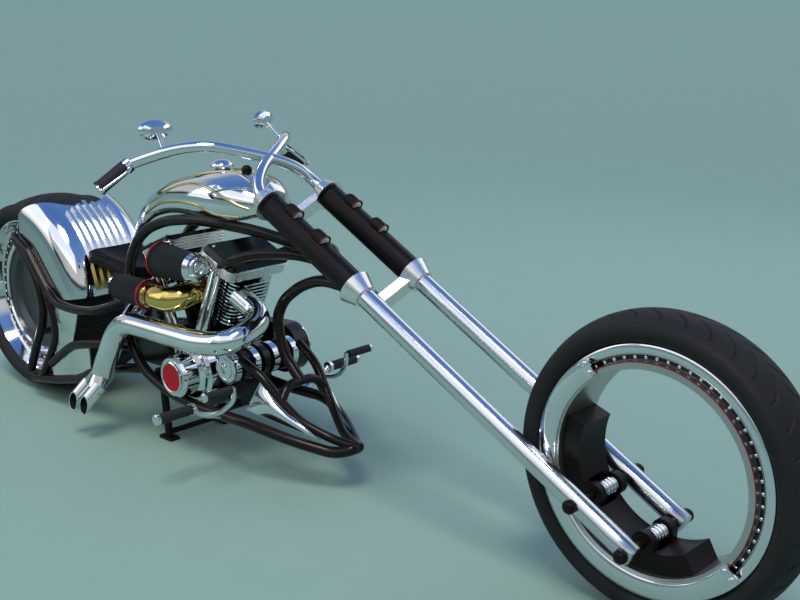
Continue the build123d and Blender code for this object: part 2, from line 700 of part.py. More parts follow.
# Seat: a low pad that lies on the ribs and reaches the rails' knees
SEAT_FROM, SEAT_TO = 322.0, 600.0
SEAT_SHOULDER = 560.0
SEAT_HALF_W = 112.0
SEAT_NOSE_HALF_W = 60.0
SEAT_T = 42.0
SEAT_REAR_Z = 503.0
SEAT_FRONT_Z = 470.0
seat_back = at(SEAT_FROM, 0, SEAT_REAR_Z)
seat_along = (at(SEAT_TO, 0, SEAT_FRONT_Z) - seat_back).normalized()
seat_plane = Plane(origin=seat_back, x_dir=seat_along, z_dir=seat_along.cross(Vector(0, 1, 0)))
with BuildPart() as seat:
    with BuildSketch(seat_plane):
        with BuildLine():
            shoulder, nose = SEAT_SHOULDER - SEAT_FROM, SEAT_TO - SEAT_FROM
            Polyline(
                (0, SEAT_HALF_W), (shoulder, SEAT_HALF_W), (nose, SEAT_NOSE_HALF_W),
                (nose, -SEAT_NOSE_HALF_W), (shoulder, -SEAT_HALF_W), (0, -SEAT_HALF_W), close=True,
            )
        make_face()
    extrude(amount=SEAT_T)
    with Locations(Location(rear_centre, (90, 0, 0))):
        Cylinder(fender_r + RIB_H + FIT_GAP, 4 * SEAT_HALF_W, mode=Mode.SUBTRACT)
    for piece in (rail_clear, other_side(rail_clear)):
        add(piece, mode=Mode.SUBTRACT)
save(seat, "seat")

# Fuel tank: few cross-sections, each a flat floor with side and top arcs
TANK_SECTIONS = [  # x, half width, floor z, top z
    (505, 26, 596, 624),
    (560, 50, 620, 691),
    (700, 95, 690, 782),
    (870, 118, 722, 835),
    (1035, 118, 722, 852),
    (1150, 62, 742, 806),
]
TANK_FLOOR_SHARE = 0.8
TANK_TOP_SHARE = 0.6
TANK_CAP_X = 931.0
TANK_CAP_R = 35.0
TANK_CAP_SEAT_Z = 832.0
TANK_CAP_H = 46.0
with BuildPart() as fuel_tank:
    for x, half_w, floor_z, top_z in TANK_SECTIONS:
        floor_half, top_half = TANK_FLOOR_SHARE * half_w, TANK_TOP_SHARE * half_w
        height = top_z - floor_z
        with BuildSketch(section_plane(at(x, 0, floor_z))):
            with BuildLine():
                Line((-floor_half, 0), (floor_half, 0))
                ThreePointArc((floor_half, 0), (half_w, 0.42 * height), (top_half, 0.9 * height))
                ThreePointArc((top_half, 0.9 * height), (0, height), (-top_half, 0.9 * height))
                ThreePointArc((-top_half, 0.9 * height), (-half_w, 0.42 * height), (-floor_half, 0))
            make_face()
    loft()
    for piece in (rail_clear, other_side(rail_clear)):
        add(piece, mode=Mode.SUBTRACT)
    with Locations(at(TANK_CAP_X, 0, TANK_CAP_SEAT_Z - FIT_GAP)):
        Cylinder(TANK_CAP_R + FIT_GAP, 200, align=(Align.CENTER, Align.CENTER, Align.MIN), mode=Mode.SUBTRACT)
save(fuel_tank, "fuel_tank")

with BuildPart() as tank_cap:
    with Locations(at(TANK_CAP_X, 0, TANK_CAP_SEAT_Z)):
        Cylinder(TANK_CAP_R, TANK_CAP_H, align=(Align.CENTER, Align.CENTER, Align.MIN))
    fillet(tank_cap.edges().group_by(Axis.Z)[-1], 16)
save(tank_cap, "tank_cap")

# Engine: a V-twin, open to view
crank = at(CRANK_X, 0, CRANK_Z)
TILTS = {"front": CYLINDER_TILT, "rear": -CYLINDER_TILT}
DECK_AT = 138.0
DECK_SIZE = (130.0, 116.0)
HEAD_AT = 350.0
CORE_R = 54.0
FIN_FROM = 196.0
FIN_PITCH = 12.0
FIN_COUNT = 12
FIN_T = 5.0
FIN_HALF_Y = 75.0
FIN_HALF_X = 72.0
FIN_CORNER = 34.0
BOX_LOW = (208.0, 140.0)
BOX_HIGH = (224.0, 150.0)
BOX_H = 38.0
BOX_CORNER = 20.0
COVER_T = 14.0


def bore_plane(tilt, distance, across=0.0, y=0.0):
    # Local x is +Y, the normal runs up the cylinder; across is measured towards the front.
    axis = Vector(sin(radians(tilt)), 0, cos(radians(tilt)))
    ahead = Vector(cos(radians(tilt)), 0, -sin(radians(tilt)))
    origin = crank + axis * distance + ahead * across + Vector(0, y, 0)
    return Plane(origin=origin, x_dir=(0, 1, 0), z_dir=axis)


DRUM_NECK_H = 60.0
FRONT_FOOT_HALF_W = 60.0
FRONT_FOOT_L = 56.0
front_cross = at(FRONT_CROSS[0], 0, FRONT_CROSS[1])
stand_cross = at(STAND_CROSS[0], 0, STAND_CROSS[1])
with BuildPart() as crankcase:
    with BuildSketch(side_plane(crank)):
        Circle(CASE_R)
    extrude(amount=CASE_HALF_W, both=True)
    for tilt in TILTS.values():
        with BuildSketch(bore_plane(tilt, DECK_AT / 2)):
            RectangleRounded(*DECK_SIZE, BOX_CORNER)
        extrude(amount=DECK_AT / 2)
    with BuildSketch(side_plane(drum_centre)):
        Rectangle(drum_centre.X - crank.X, DRUM_NECK_H, align=(Align.MAX, Align.CENTER))
    extrude(amount=FRONT_FOOT_HALF_W, both=True)
    with BuildSketch(side_plane(front_cross)):
        Rectangle(FRONT_FOOT_L, CRANK_Z - FRONT_CROSS[1], align=(Align.CENTER, Align.MIN))
    extrude(amount=FRONT_FOOT_HALF_W, both=True)
    with Locations(Location(front_cross, (90, 0, 0))):
        Cylinder(CROSS_TUBE_R + FIT_GAP, 4 * CASE_HALF_W, mode=Mode.SUBTRACT)
    add(drum_clear, mode=Mode.SUBTRACT)
save(crankcase, "crankcase")

DRUM_CORE_R = 38.0
BAND_PITCH = 36.0
BAND_W = 22.0
with BuildPart() as oil_drum:
    with Locations(Location(drum_centre, (90, 0, 0))):
        Cylinder(DRUM_CORE_R, 2 * DRUM_HALF_W)
        with Locations(*[(0, 0, k * BAND_PITCH) for k in (-3, -2, -1, 0, 1, 2, 3)]):
            Cylinder(DRUM_R, BAND_W)
save(oil_drum, "oil_drum")

for place, tilt in TILTS.items():
    with BuildPart() as cylinder:
        with BuildSketch(bore_plane(tilt, DECK_AT + FIT_GAP)):
            Circle(CORE_R)
        extrude(amount=HEAD_AT - DECK_AT - 2 * FIT_GAP)
        for k in range(FIN_COUNT):
            with BuildSketch(bore_plane(tilt, FIN_FROM + k * FIN_PITCH)):
                RectangleRounded(2 * FIN_HALF_Y, 2 * FIN_HALF_X, FIN_CORNER)
            extrude(amount=FIN_T)
    save(cylinder, f"{place}_cylinder")

with BuildPart() as rocker_boxes:
    for tilt in TILTS.values():
        for level, size in ((HEAD_AT, BOX_LOW), (HEAD_AT + BOX_H, BOX_HIGH)):
            with BuildSketch(bore_plane(tilt, level)):
                RectangleRounded(*size, BOX_CORNER)
        loft()
save(rocker_boxes, "rocker_boxes")

with BuildPart() as rocker_covers:
    for tilt in TILTS.values():
        with BuildSketch(bore_plane(tilt, HEAD_AT + BOX_H + FIT_GAP)):
            RectangleRounded(BOX_HIGH[0] - 8, BOX_HIGH[1] - 8, BOX_CORNER)
        extrude(amount=COVER_T, taper=30)
save(rocker_covers, "rocker_covers")

# Cam cover: a stepped turning on the right of the case, with a bare badge disc
CAM_AT = (900.0, 255.0)
CAM_R = 95.0
CAM_DEPTH = 100.0
CAM_PROFILE = [  # radius, depth
    (CAM_R, 0.0), (CAM_R, 28.0), (78.0, 32.0), (78.0, 40.0), (63.0, 49.0), (63.0, 92.0), (57.0, CAM_DEPTH),
]
BADGE_R = 42.0
BADGE_T = 4.0
cam_centre = at(CAM_AT[0], 0, CAM_AT[1])
cam_face = CASE_HALF_W + FIT_GAP
with BuildPart() as cam_cover:
    with BuildSketch(section_plane(cam_centre)):
        with BuildLine():
            outline = [(-cam_face - depth, radius) for radius, depth in CAM_PROFILE]
            Polyline((-cam_face, 0), *outline, (-cam_face - CAM_DEPTH, 0), close=True)
        make_face()
    revolve(axis=Axis(cam_centre, (0, 1, 0)))
save(cam_cover, "cam_cover")
with BuildPart() as cam_badge:
    with BuildSketch(side_plane(cam_centre - Vector(0, cam_face + CAM_DEPTH + FIT_GAP, 0))):
        Circle(BADGE_R)
    extrude(amount=BADGE_T)
save(cam_badge, "cam_badge")

PUSHROD_R = 10.0
PUSHROD_Y = -CASE_HALF_W - PUSHROD_R - 1
PUSHROD_ACROSS = {"front": (-10.0, 17.0), "rear": (-14.0, -40.0)}
with BuildPart() as pushrod_tubes:
    for place, tilt in TILTS.items():
        for across in PUSHROD_ACROSS[place]:
            with BuildSketch(bore_plane(tilt, 40, across, PUSHROD_Y)):
                Circle(PUSHROD_R)
            extrude(amount=HEAD_AT - FIT_GAP - 40)
    with Locations(Location(cam_centre, (90, 0, 0))):
        Cylinder(CAM_R + FIT_GAP, 6 * CASE_HALF_W, mode=Mode.SUBTRACT)
save(pushrod_tubes, "pushrod_tubes")

# Primary cover on the left and the gearbox behind the case
PRIMARY_FRONT = (962.0, 277.0, 78.0)  # x, z, radius
PRIMARY_REAR = (730.0, 268.0, 70.0)
PRIMARY_FROM_Y = 174.0
PRIMARY_DEPTH = 58.0
PRIMARY_RIM = 10.0
PRIMARY_NECK_R = 52.0
with BuildPart() as primary_cover:
    with BuildSketch(side_plane(at(0, PRIMARY_FROM_Y, 0))):
        for x, z, radius in (PRIMARY_FRONT, PRIMARY_REAR):
            with Locations((x, z)):
                Circle(radius)
        make_hull()
    extrude(amount=-PRIMARY_DEPTH)
    fillet(primary_cover.edges().group_by(Axis.Y)[-1], PRIMARY_RIM)
    with BuildSketch(side_plane(crank + Vector(0, cam_face, 0))):
        Circle(PRIMARY_NECK_R)
    extrude(amount=cam_face - PRIMARY_FROM_Y - 1)
save(primary_cover, "primary_cover")

GEARBOX_FROM = 566.0
GEARBOX_TOP = 316.0
GEARBOX_HALF_W = 85.0
GEARBOX_CORNER = 30.0
gearbox_floor = STAND_CROSS[1] + CROSS_TUBE_R + FIT_GAP
gearbox_centre = at(GEARBOX_FROM, 0, (gearbox_floor + GEARBOX_TOP) / 2)
with BuildPart() as gearbox:
    with BuildSketch(side_plane(gearbox_centre)):
        Rectangle(CRANK_X - GEARBOX_FROM, GEARBOX_TOP - gearbox_floor, align=(Align.MIN, Align.CENTER))
    extrude(amount=GEARBOX_HALF_W, both=True)
    fillet(gearbox.edges().filter_by(Axis.Y).group_by(Axis.X)[0], GEARBOX_CORNER)
    with Locations(Location(crank, (90, 0, 0))):
        Cylinder(CASE_R + FIT_GAP, 4 * CASE_HALF_W, mode=Mode.SUBTRACT)
save(gearbox, "gearbox")

# Stays from the neck to the front rocker box
STAY_R = 14.0
with BuildPart() as front_box_clear:
    for level, size in ((HEAD_AT - FIT_GAP, BOX_LOW), (HEAD_AT + BOX_H + FIT_GAP, BOX_HIGH)):
        with BuildSketch(bore_plane(CYLINDER_TILT, level)):
            RectangleRounded(size[0] + 2 * FIT_GAP, size[1] + 2 * FIT_GAP, BOX_CORNER)
    loft()
    with BuildSketch(bore_plane(CYLINDER_TILT, HEAD_AT + BOX_H)):
        RectangleRounded(BOX_HIGH[0] + 2 * FIT_GAP, BOX_HIGH[1] + 2 * FIT_GAP, BOX_CORNER)
    extrude(amount=COVER_T + 2 * FIT_GAP)
right_stay = tube(stay_route, STAY_R)
with BuildPart() as frame_stays:
    for piece in (right_stay, other_side(right_stay)):
        add(piece)
    add(head_tube_clear, mode=Mode.SUBTRACT)
    add(front_box_clear.part, mode=Mode.SUBTRACT)
save(frame_stays, "frame_stays")

# Intake: two cone filters on elbows, one for each cylinder
ELBOW_R = 24.0
FLANGE_T = 8.0
RING_T = 10.0
UPPER_FILTER = (835.0, -157.0, 590.0)
UPPER_FILTER_END = 985.0
UPPER_FILTER_R = (50.0, 42.0)
LOWER_FILTER = (780.0, -178.0, 482.0)
LOWER_FILTER_END = 640.0
LOWER_FILTER_R = (43.0, 40.0)
CAP_T = 16.0
port_face = -FIN_HALF_Y - FIT_GAP
flange_face = port_face - FLANGE_T
upper_elbow_route = route([
    (UPPER_FILTER[0] - RING_T, UPPER_FILTER[1], UPPER_FILTER[2]), (776, UPPER_FILTER[1], UPPER_FILTER[2]),
    (776, flange_face - 32, 540), (776, flange_face, 540),
])
lower_elbow_route = route([
    (LOWER_FILTER[0] + RING_T, LOWER_FILTER[1], LOWER_FILTER[2]), (925, LOWER_FILTER[1], LOWER_FILTER[2]),
    (925, flange_face - 36, 500), (925, flange_face, 500),
])
with BuildPart() as intake_elbows:
    for path in (upper_elbow_route, lower_elbow_route):
        add(tube(path, ELBOW_R))
        with Locations(Location(path[-1], (90, 0, 0))):
            Cylinder(ELBOW_R + 8, FLANGE_T, align=(Align.CENTER, Align.CENTER, Align.MAX))
save(intake_elbows, "intake_elbows")

filters = [  # base, end x, base and end radii, direction along X
    (UPPER_FILTER, UPPER_FILTER_END, UPPER_FILTER_R, 1),
    (LOWER_FILTER, LOWER_FILTER_END, LOWER_FILTER_R, -1),
]


def end_plane(x, base):
    return section_plane(at(x, base[1], base[2]))


with BuildPart() as air_filters:
    for base, end_x, radii, way in filters:
        for x, radius in ((base[0], radii[0]), (end_x, radii[1])):
            with BuildSketch(end_plane(x, base)):
                Circle(radius)
        loft()
save(air_filters, "air_filters")
with BuildPart() as filter_rings:
    for base, end_x, radii, way in filters:
        with BuildSketch(end_plane(base[0] - way * FIT_GAP, base)):
            Circle(radii[0] + 3)
        extrude(amount=-way * (RING_T - 2 * FIT_GAP))
save(filter_rings, "filter_rings")
with BuildPart() as filter_caps:
    for base, end_x, radii, way in filters:
        with BuildSketch(end_plane(end_x + way * FIT_GAP, base)):
            Circle(radii[1] + 2)
        extrude(amount=way * CAP_T, taper=20)
save(filter_caps, "filter_caps")

# Exhaust: the front pipe sweeps round the right side to twin tips, the rear one joins it
PIPE_R = 34.0
REAR_PIPE_R = 28.0
TIP_R = 22.0
TIP_WALL = 3.0
TIP_BORE_DEPTH = 60.0
TIP_LENGTH = 80.0
TIP_SPACING = 60.0
SPLIT_LENGTH = 50.0
PORT_AT = 300.0
FRONT_PORT_Y = -56.0
REAR_PORT_Y = -30.0
front_ahead = bore_plane(CYLINDER_TILT, 0, 1).origin - crank
rear_back = bore_plane(-CYLINDER_TILT, 0, -1).origin - crank
front_port = bore_plane(CYLINDER_TILT, PORT_AT, FIN_HALF_X + FIT_GAP, FRONT_PORT_Y).origin
rear_port = bore_plane(-CYLINDER_TILT, PORT_AT, -FIN_HALF_X - FIT_GAP, REAR_PORT_Y).origin
pipe_end = at(588, -228, 205)
mouths = at(554, -300, 119)
tip_way = (mouths - pipe_end).normalized()
front_pipe_route = [
    front_port, front_port + front_ahead * 120,
    *route([(1178, -190, 412), (1060, -202, 392), (668, -206, 388), (600, -224, 240)]), pipe_end,
]
rear_pipe_route = [rear_port, rear_port + rear_back * 50, *route([(648, -140, 402), (692, -204, 376)])]
SPLIT = (  # along, half length, half width
    (0.0, PIPE_R, PIPE_R),
    (SPLIT_LENGTH, TIP_SPACING / 2 + TIP_R, TIP_R),
)
tip_mouths = [mouths + Vector(side * TIP_SPACING / 2, 0, 0) for side in (-1, 1)]
with BuildPart() as exhaust_front:
    add(tube(front_pipe_route, PIPE_R))
    with Locations(pipe_end):
        Sphere(PIPE_R)
    for along, half_l, half_w in SPLIT:
        with BuildSketch(Plane(origin=pipe_end + tip_way * along, x_dir=(1, 0, 0), z_dir=tip_way)):
            Ellipse(half_l, half_w)
    loft()
    for mouth in tip_mouths:
        add(rod(mouth - tip_way * TIP_LENGTH, mouth + tip_way * 2 * TIP_R, TIP_R))
    with BuildSketch(side_plane(mouths)):
        Rectangle(4 * TIP_SPACING, 4 * TIP_SPACING)
    extrude(amount=TIP_LENGTH, mode=Mode.SUBTRACT)
    for mouth in tip_mouths:
        bore_end = mouth - tip_way * TIP_BORE_DEPTH
        add(rod(bore_end, mouth + tip_way * 2 * TIP_R, TIP_R - TIP_WALL), mode=Mode.SUBTRACT)
save(exhaust_front, "exhaust_front")
with BuildPart() as exhaust_rear:
    add(tube(rear_pipe_route, REAR_PIPE_R))
    add(tube(front_pipe_route, PIPE_R + FIT_GAP), mode=Mode.SUBTRACT)
save(exhaust_rear, "exhaust_rear")

# Bright panels between the frame tubes
PANEL_T = 4.0
BELLY_CORNERS = [(1168, -136, 205), (1196, -104, 288), (1262, -84, 225), (1386, -58, 150)]
TAIL_PANELS = [
    [(224, 390), (267, 364), (392, 362), (346, 240), (204, 148), (209, 185), (251, 252), (242, 319)],
    [(204, 148), (346, 240), (443, 263), (447, 168), (375, 130), (215, 92)],
]
belly = route(BELLY_CORNERS)
belly_along, belly_up = belly[-1] - belly[0], belly[1] - belly[0]
belly_plane = Plane(origin=belly[0], x_dir=belly_along, z_dir=belly_along.cross(belly_up))
with BuildPart() as right_belly:
    with BuildSketch(belly_plane):
        with BuildLine():
            flat = [belly_plane.to_local_coords(corner) for corner in belly]
            Polyline(*[(p.X, p.Y) for p in flat], close=True)
        make_face()
    extrude(amount=PANEL_T / 2, both=True)
    add(cradle_clear, mode=Mode.SUBTRACT)
    add(inner_clear, mode=Mode.SUBTRACT)
with BuildPart() as belly_panels:
    add(right_belly.part)
    add(other_side(right_belly.part))
save(belly_panels, "belly_panels")

with BuildPart() as right_tail_panels:
    with BuildSketch(side_plane(at(0, -TAIL_HALF_W, 0))):
        for corners in TAIL_PANELS:
            with BuildLine():
                Polyline(*corners, close=True)
            make_face()
    extrude(amount=PANEL_T / 2, both=True)
    for path in tail_tubes:
        add(tube(path, TAIL_TUBE_R + FIT_GAP), mode=Mode.SUBTRACT)
with BuildPart() as tail_panels:
    add(right_tail_panels.part)
    add(other_side(right_tail_panels.part))
save(tail_panels, "tail_panels")

# Foot pegs and pedals on curved arms from the cradle
PEG_AT = (1085.0, 220.0)
PEG_FROM, PEG_TO = 268.0, 386.0
PEG_R = 15.0
ARM_R = 9.0
PEDAL_AT = (1212.0, 296.0)
PEDAL_FROM, PEDAL_TO = 222.0, 318.0
PEDAL_R = 12.0
PEDAL_ARM_R = 7.0
COLLAR_T = 12.0
peg_root = at(PEG_AT[0], -PEG_FROM, PEG_AT[1])
pedal_root = at(PEDAL_AT[0], -PEDAL_FROM, PEDAL_AT[1])
arm_route = [at(PEG_AT[0], -150, 172), at(PEG_AT[0], -222, 192), peg_root + Vector(0, 0.7 * COLLAR_T, 0)]
pedal_route = [
    at(PEG_AT[0] + 4, -232, 198), at(1160, -226, 214), at(PEDAL_AT[0], -212, 262),
    at(PEDAL_AT[0], -PEDAL_FROM + PEDAL_ARM_R, PEDAL_AT[1] + PEDAL_ARM_R),
]
with BuildPart() as right_controls:
    add(tube(arm_route, ARM_R))
    add(tube(pedal_route, PEDAL_ARM_R))
    add(rod(peg_root + Vector(0, COLLAR_T, 0), peg_root + Vector(0, FIT_GAP, 0), PEG_R + 2))
    add(cradle_clear, mode=Mode.SUBTRACT)
with BuildPart() as foot_controls:
    add(right_controls.part)
    add(other_side(right_controls.part))
save(foot_controls, "foot_controls")

for node, root, reach, radius in (
    ("foot_pegs", peg_root, PEG_TO - PEG_FROM, PEG_R),
    ("pedal_rubbers", pedal_root, PEDAL_TO - PEDAL_FROM, PEDAL_R),
):
    right_rubber = rod(root, root - Vector(0, reach, 0), radius)
    with BuildPart() as rubbers:
        for piece in (right_rubber, other_side(right_rubber)):
            add(piece)
    save(rubbers, node)

# Centre stand: two legs hung on the rear cross tube, joined by a brace above the feet
STAND_HALF_W = 105.0
STAND_HUB_R = 24.0
STAND_HUB_W = 26.0
STAND_LEG_R = 12.0
STAND_FOOT_AHEAD = 20.0
STAND_FOOT_LENGTH = 60.0
STAND_FOOT_T = 10.0
STAND_FOOT_W = 34.0
BRACE_SHARE = 0.9
BRACE_R = 9.0
with BuildPart() as centre_stand:
    for side in (-1, 1):
        hub = stand_cross + Vector(0, side * STAND_HALF_W, 0)
        sole = at(STAND_CROSS[0] + STAND_FOOT_AHEAD, side * STAND_HALF_W, 0)
        with Locations(Location(hub, (90, 0, 0))):
            Cylinder(STAND_HUB_R, STAND_HUB_W)
        add(rod(hub, sole + Vector(0, 0, STAND_FOOT_T / 2), STAND_LEG_R))
        with Locations(sole):
            Box(STAND_FOOT_LENGTH, STAND_FOOT_W, STAND_FOOT_T, align=(Align.CENTER, Align.CENTER, Align.MIN))
    brace = stand_cross + (at(STAND_CROSS[0] + STAND_FOOT_AHEAD, 0, 0) - stand_cross) * BRACE_SHARE
    with Locations(Location(brace, (90, 0, 0))):
        Cylinder(BRACE_R, 2 * STAND_HALF_W)
    with Locations(Location(stand_cross, (90, 0, 0))):
        Cylinder(CROSS_TUBE_R + FIT_GAP, 4 * STAND_HALF_W, mode=Mode.SUBTRACT)
save(centre_stand, "centre_stand")
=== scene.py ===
from math import atan2, acos, cos, pi, radians, sin

import bmesh
import bpy
import numpy as np
from mathutils import Matrix, Vector


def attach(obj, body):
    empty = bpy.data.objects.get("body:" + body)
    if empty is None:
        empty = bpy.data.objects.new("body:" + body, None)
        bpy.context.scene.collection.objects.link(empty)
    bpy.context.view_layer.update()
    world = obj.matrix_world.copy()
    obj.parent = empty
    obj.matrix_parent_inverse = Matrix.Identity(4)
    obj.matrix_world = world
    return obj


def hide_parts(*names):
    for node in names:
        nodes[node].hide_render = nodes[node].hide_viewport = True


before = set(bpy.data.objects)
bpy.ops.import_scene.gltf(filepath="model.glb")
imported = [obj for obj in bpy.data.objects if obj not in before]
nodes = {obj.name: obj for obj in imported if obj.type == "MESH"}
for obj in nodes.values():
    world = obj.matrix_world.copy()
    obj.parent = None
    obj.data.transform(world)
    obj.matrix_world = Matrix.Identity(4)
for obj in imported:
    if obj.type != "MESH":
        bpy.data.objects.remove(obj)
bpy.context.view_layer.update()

scene = bpy.context.scene
rearAxleX = 1207.0  # millimetres from the rear axle to the middle of the bike
frontAxle, rearAxle = (1.2, 0, 0.345), (-1.207, 0, 0.338)
rightWay = (0, -1, 0)  # out of the bike's right side


def at(x, y, z):  # millimetres from the floor under the rear axle, to metres in the bike's frame
    return np.array([x - rearAxleX, y, z]) / 1000


# camera, studio and light
view = dict(place=(2.35555, -2.05725, 1.30541), yaw=133.16, pitch=14.45, roll=-0.23, lens=51.55,
            sensor=36.0)
yaw, pitch, roll = (radians(view[k]) for k in ("yaw", "pitch", "roll"))
ahead = Vector((cos(pitch) * cos(yaw), cos(pitch) * sin(yaw), -sin(pitch)))
right = ahead.cross(Vector((0, 0, 1))).normalized()
above = right.cross(ahead)
right, above = right * cos(roll) + above * sin(roll), above * cos(roll) - right * sin(roll)
facing = Matrix((right, above, -ahead)).transposed().to_4x4()
camera = bpy.data.objects.new("camera", bpy.data.cameras.new("camera"))
camera.data.lens = view["lens"]
camera.data.sensor_width = view["sensor"]
camera.data.sensor_fit = "HORIZONTAL"
camera.matrix_world = Matrix.Translation(view["place"]) @ facing
scene.collection.objects.link(camera)
scene.camera = camera
scene.view_settings.view_transform = "Standard"

studio = dict(floorReach=42.0, floorFlat=8.0, floorRise=6.5, floorRings=32, floorSides=96,
              floorTone=(0.290, 0.432, 0.366), floorDark=(0.276, 0.413, 0.349), floorRough=(0.75, 0.9),
              floorGrain=0.6, floorGloss=0.1, strength=0.62, drift=0.09, driftScale=2.4)
skyBands = [  # sine of the height above the horizon, tone
    (-1.0, (0.16, 0.20, 0.20)), (0.06, (0.07, 0.09, 0.10)), (0.20, (0.04, 0.06, 0.08)),
    (0.26, (0.98, 0.99, 1.00)), (0.46, (0.90, 0.95, 1.00)), (0.64, (0.24, 0.46, 0.96)),
    (1.0, (0.13, 0.30, 0.82)),
]
lamps = dict(  # kind, power, colour, place, aim, size (of a sun, its angle)
    key=("AREA", 38.0, (1.0, 0.96, 0.90), (0.4, -3.2, 3.6), (0.0, 0.0, 0.3), (5.4, 2.6)),
    strip=("AREA", 20.0, (1.0, 0.98, 0.95), (-2.8, -2.4, 2.4), (-0.6, 0.0, 0.4), (2.0, 3.2)),
    back=("AREA", 22.0, (1.0, 0.97, 0.93), (0.6, 3.6, 3.0), (0.0, 0.0, 0.4), (4.6, 2.0)),
    sun=("SUN", 1.5, (1.0, 0.94, 0.84), (2.4, -2.0, 6.0), (0.6, 0.2, 0.0), 0.35),
)
for name, (kind, power, colour, place, aim, size) in lamps.items():
    lamp = bpy.data.lights.new(name, kind)
    lamp.energy = power
    lamp.color = colour
    if kind == "AREA":
        lamp.shape = "RECTANGLE"
        lamp.size, lamp.size_y = size
    else:
        lamp.angle = size
    lampObject = bpy.data.objects.new(name, lamp)
    lampObject.location = place
    lampObject.rotation_euler = (Vector(aim) - Vector(place)).to_track_quat("-Z", "Y").to_euler()
    scene.collection.objects.link(lampObject)

world = bpy.data.worlds.new("studio")
world.use_nodes = True
scene.world = world
sky = world.node_tree
skyCoord = sky.nodes.new("ShaderNodeTexCoord")
skySplit = sky.nodes.new("ShaderNodeSeparateXYZ")
skyLift = sky.nodes.new("ShaderNodeMapRange")
skyRamp = sky.nodes.new("ShaderNodeValToRGB")
skyLift.inputs["From Min"].default_value = -1.0
stops = skyRamp.color_ramp.elements
while len(stops) < len(skyBands):
    stops.new(0.5)
for stop, (height, tone) in zip(stops, skyBands):
    stop.position = (height + 1) / 2
    stop.color = (*tone, 1)
# the bands' edges wander: height + 2 drift (noise(direction) - 1/2)
skyNoise = sky.nodes.new("ShaderNodeTexNoise")
skyNoise.inputs["Scale"].default_value = studio["driftScale"]
skyDrift = sky.nodes.new("ShaderNodeMath")
skyDrift.operation = "MULTIPLY_ADD"
skyDrift.inputs[1].default_value = 2 * studio["drift"]
skyLevel = sky.nodes.new("ShaderNodeMath")
skyLevel.operation = "SUBTRACT"
skyLevel.inputs[1].default_value = studio["drift"]
sky.links.new(skyCoord.outputs["Generated"], skySplit.inputs["Vector"])
sky.links.new(skyCoord.outputs["Generated"], skyNoise.inputs["Vector"])
sky.links.new(skyNoise.outputs["Fac"], skyDrift.inputs[0])
sky.links.new(skySplit.outputs["Z"], skyDrift.inputs[2])
sky.links.new(skyDrift.outputs["Value"], skyLevel.inputs[0])
sky.links.new(skyLevel.outputs["Value"], skyLift.inputs["Value"])
sky.links.new(skyLift.outputs["Result"], skyRamp.inputs["Fac"])
sky.links.new(skyRamp.outputs["Color"], sky.nodes["Background"].inputs["Color"])
sky.nodes["Background"].inputs["Strength"].default_value = studio["strength"]
print("stage: camera and light")


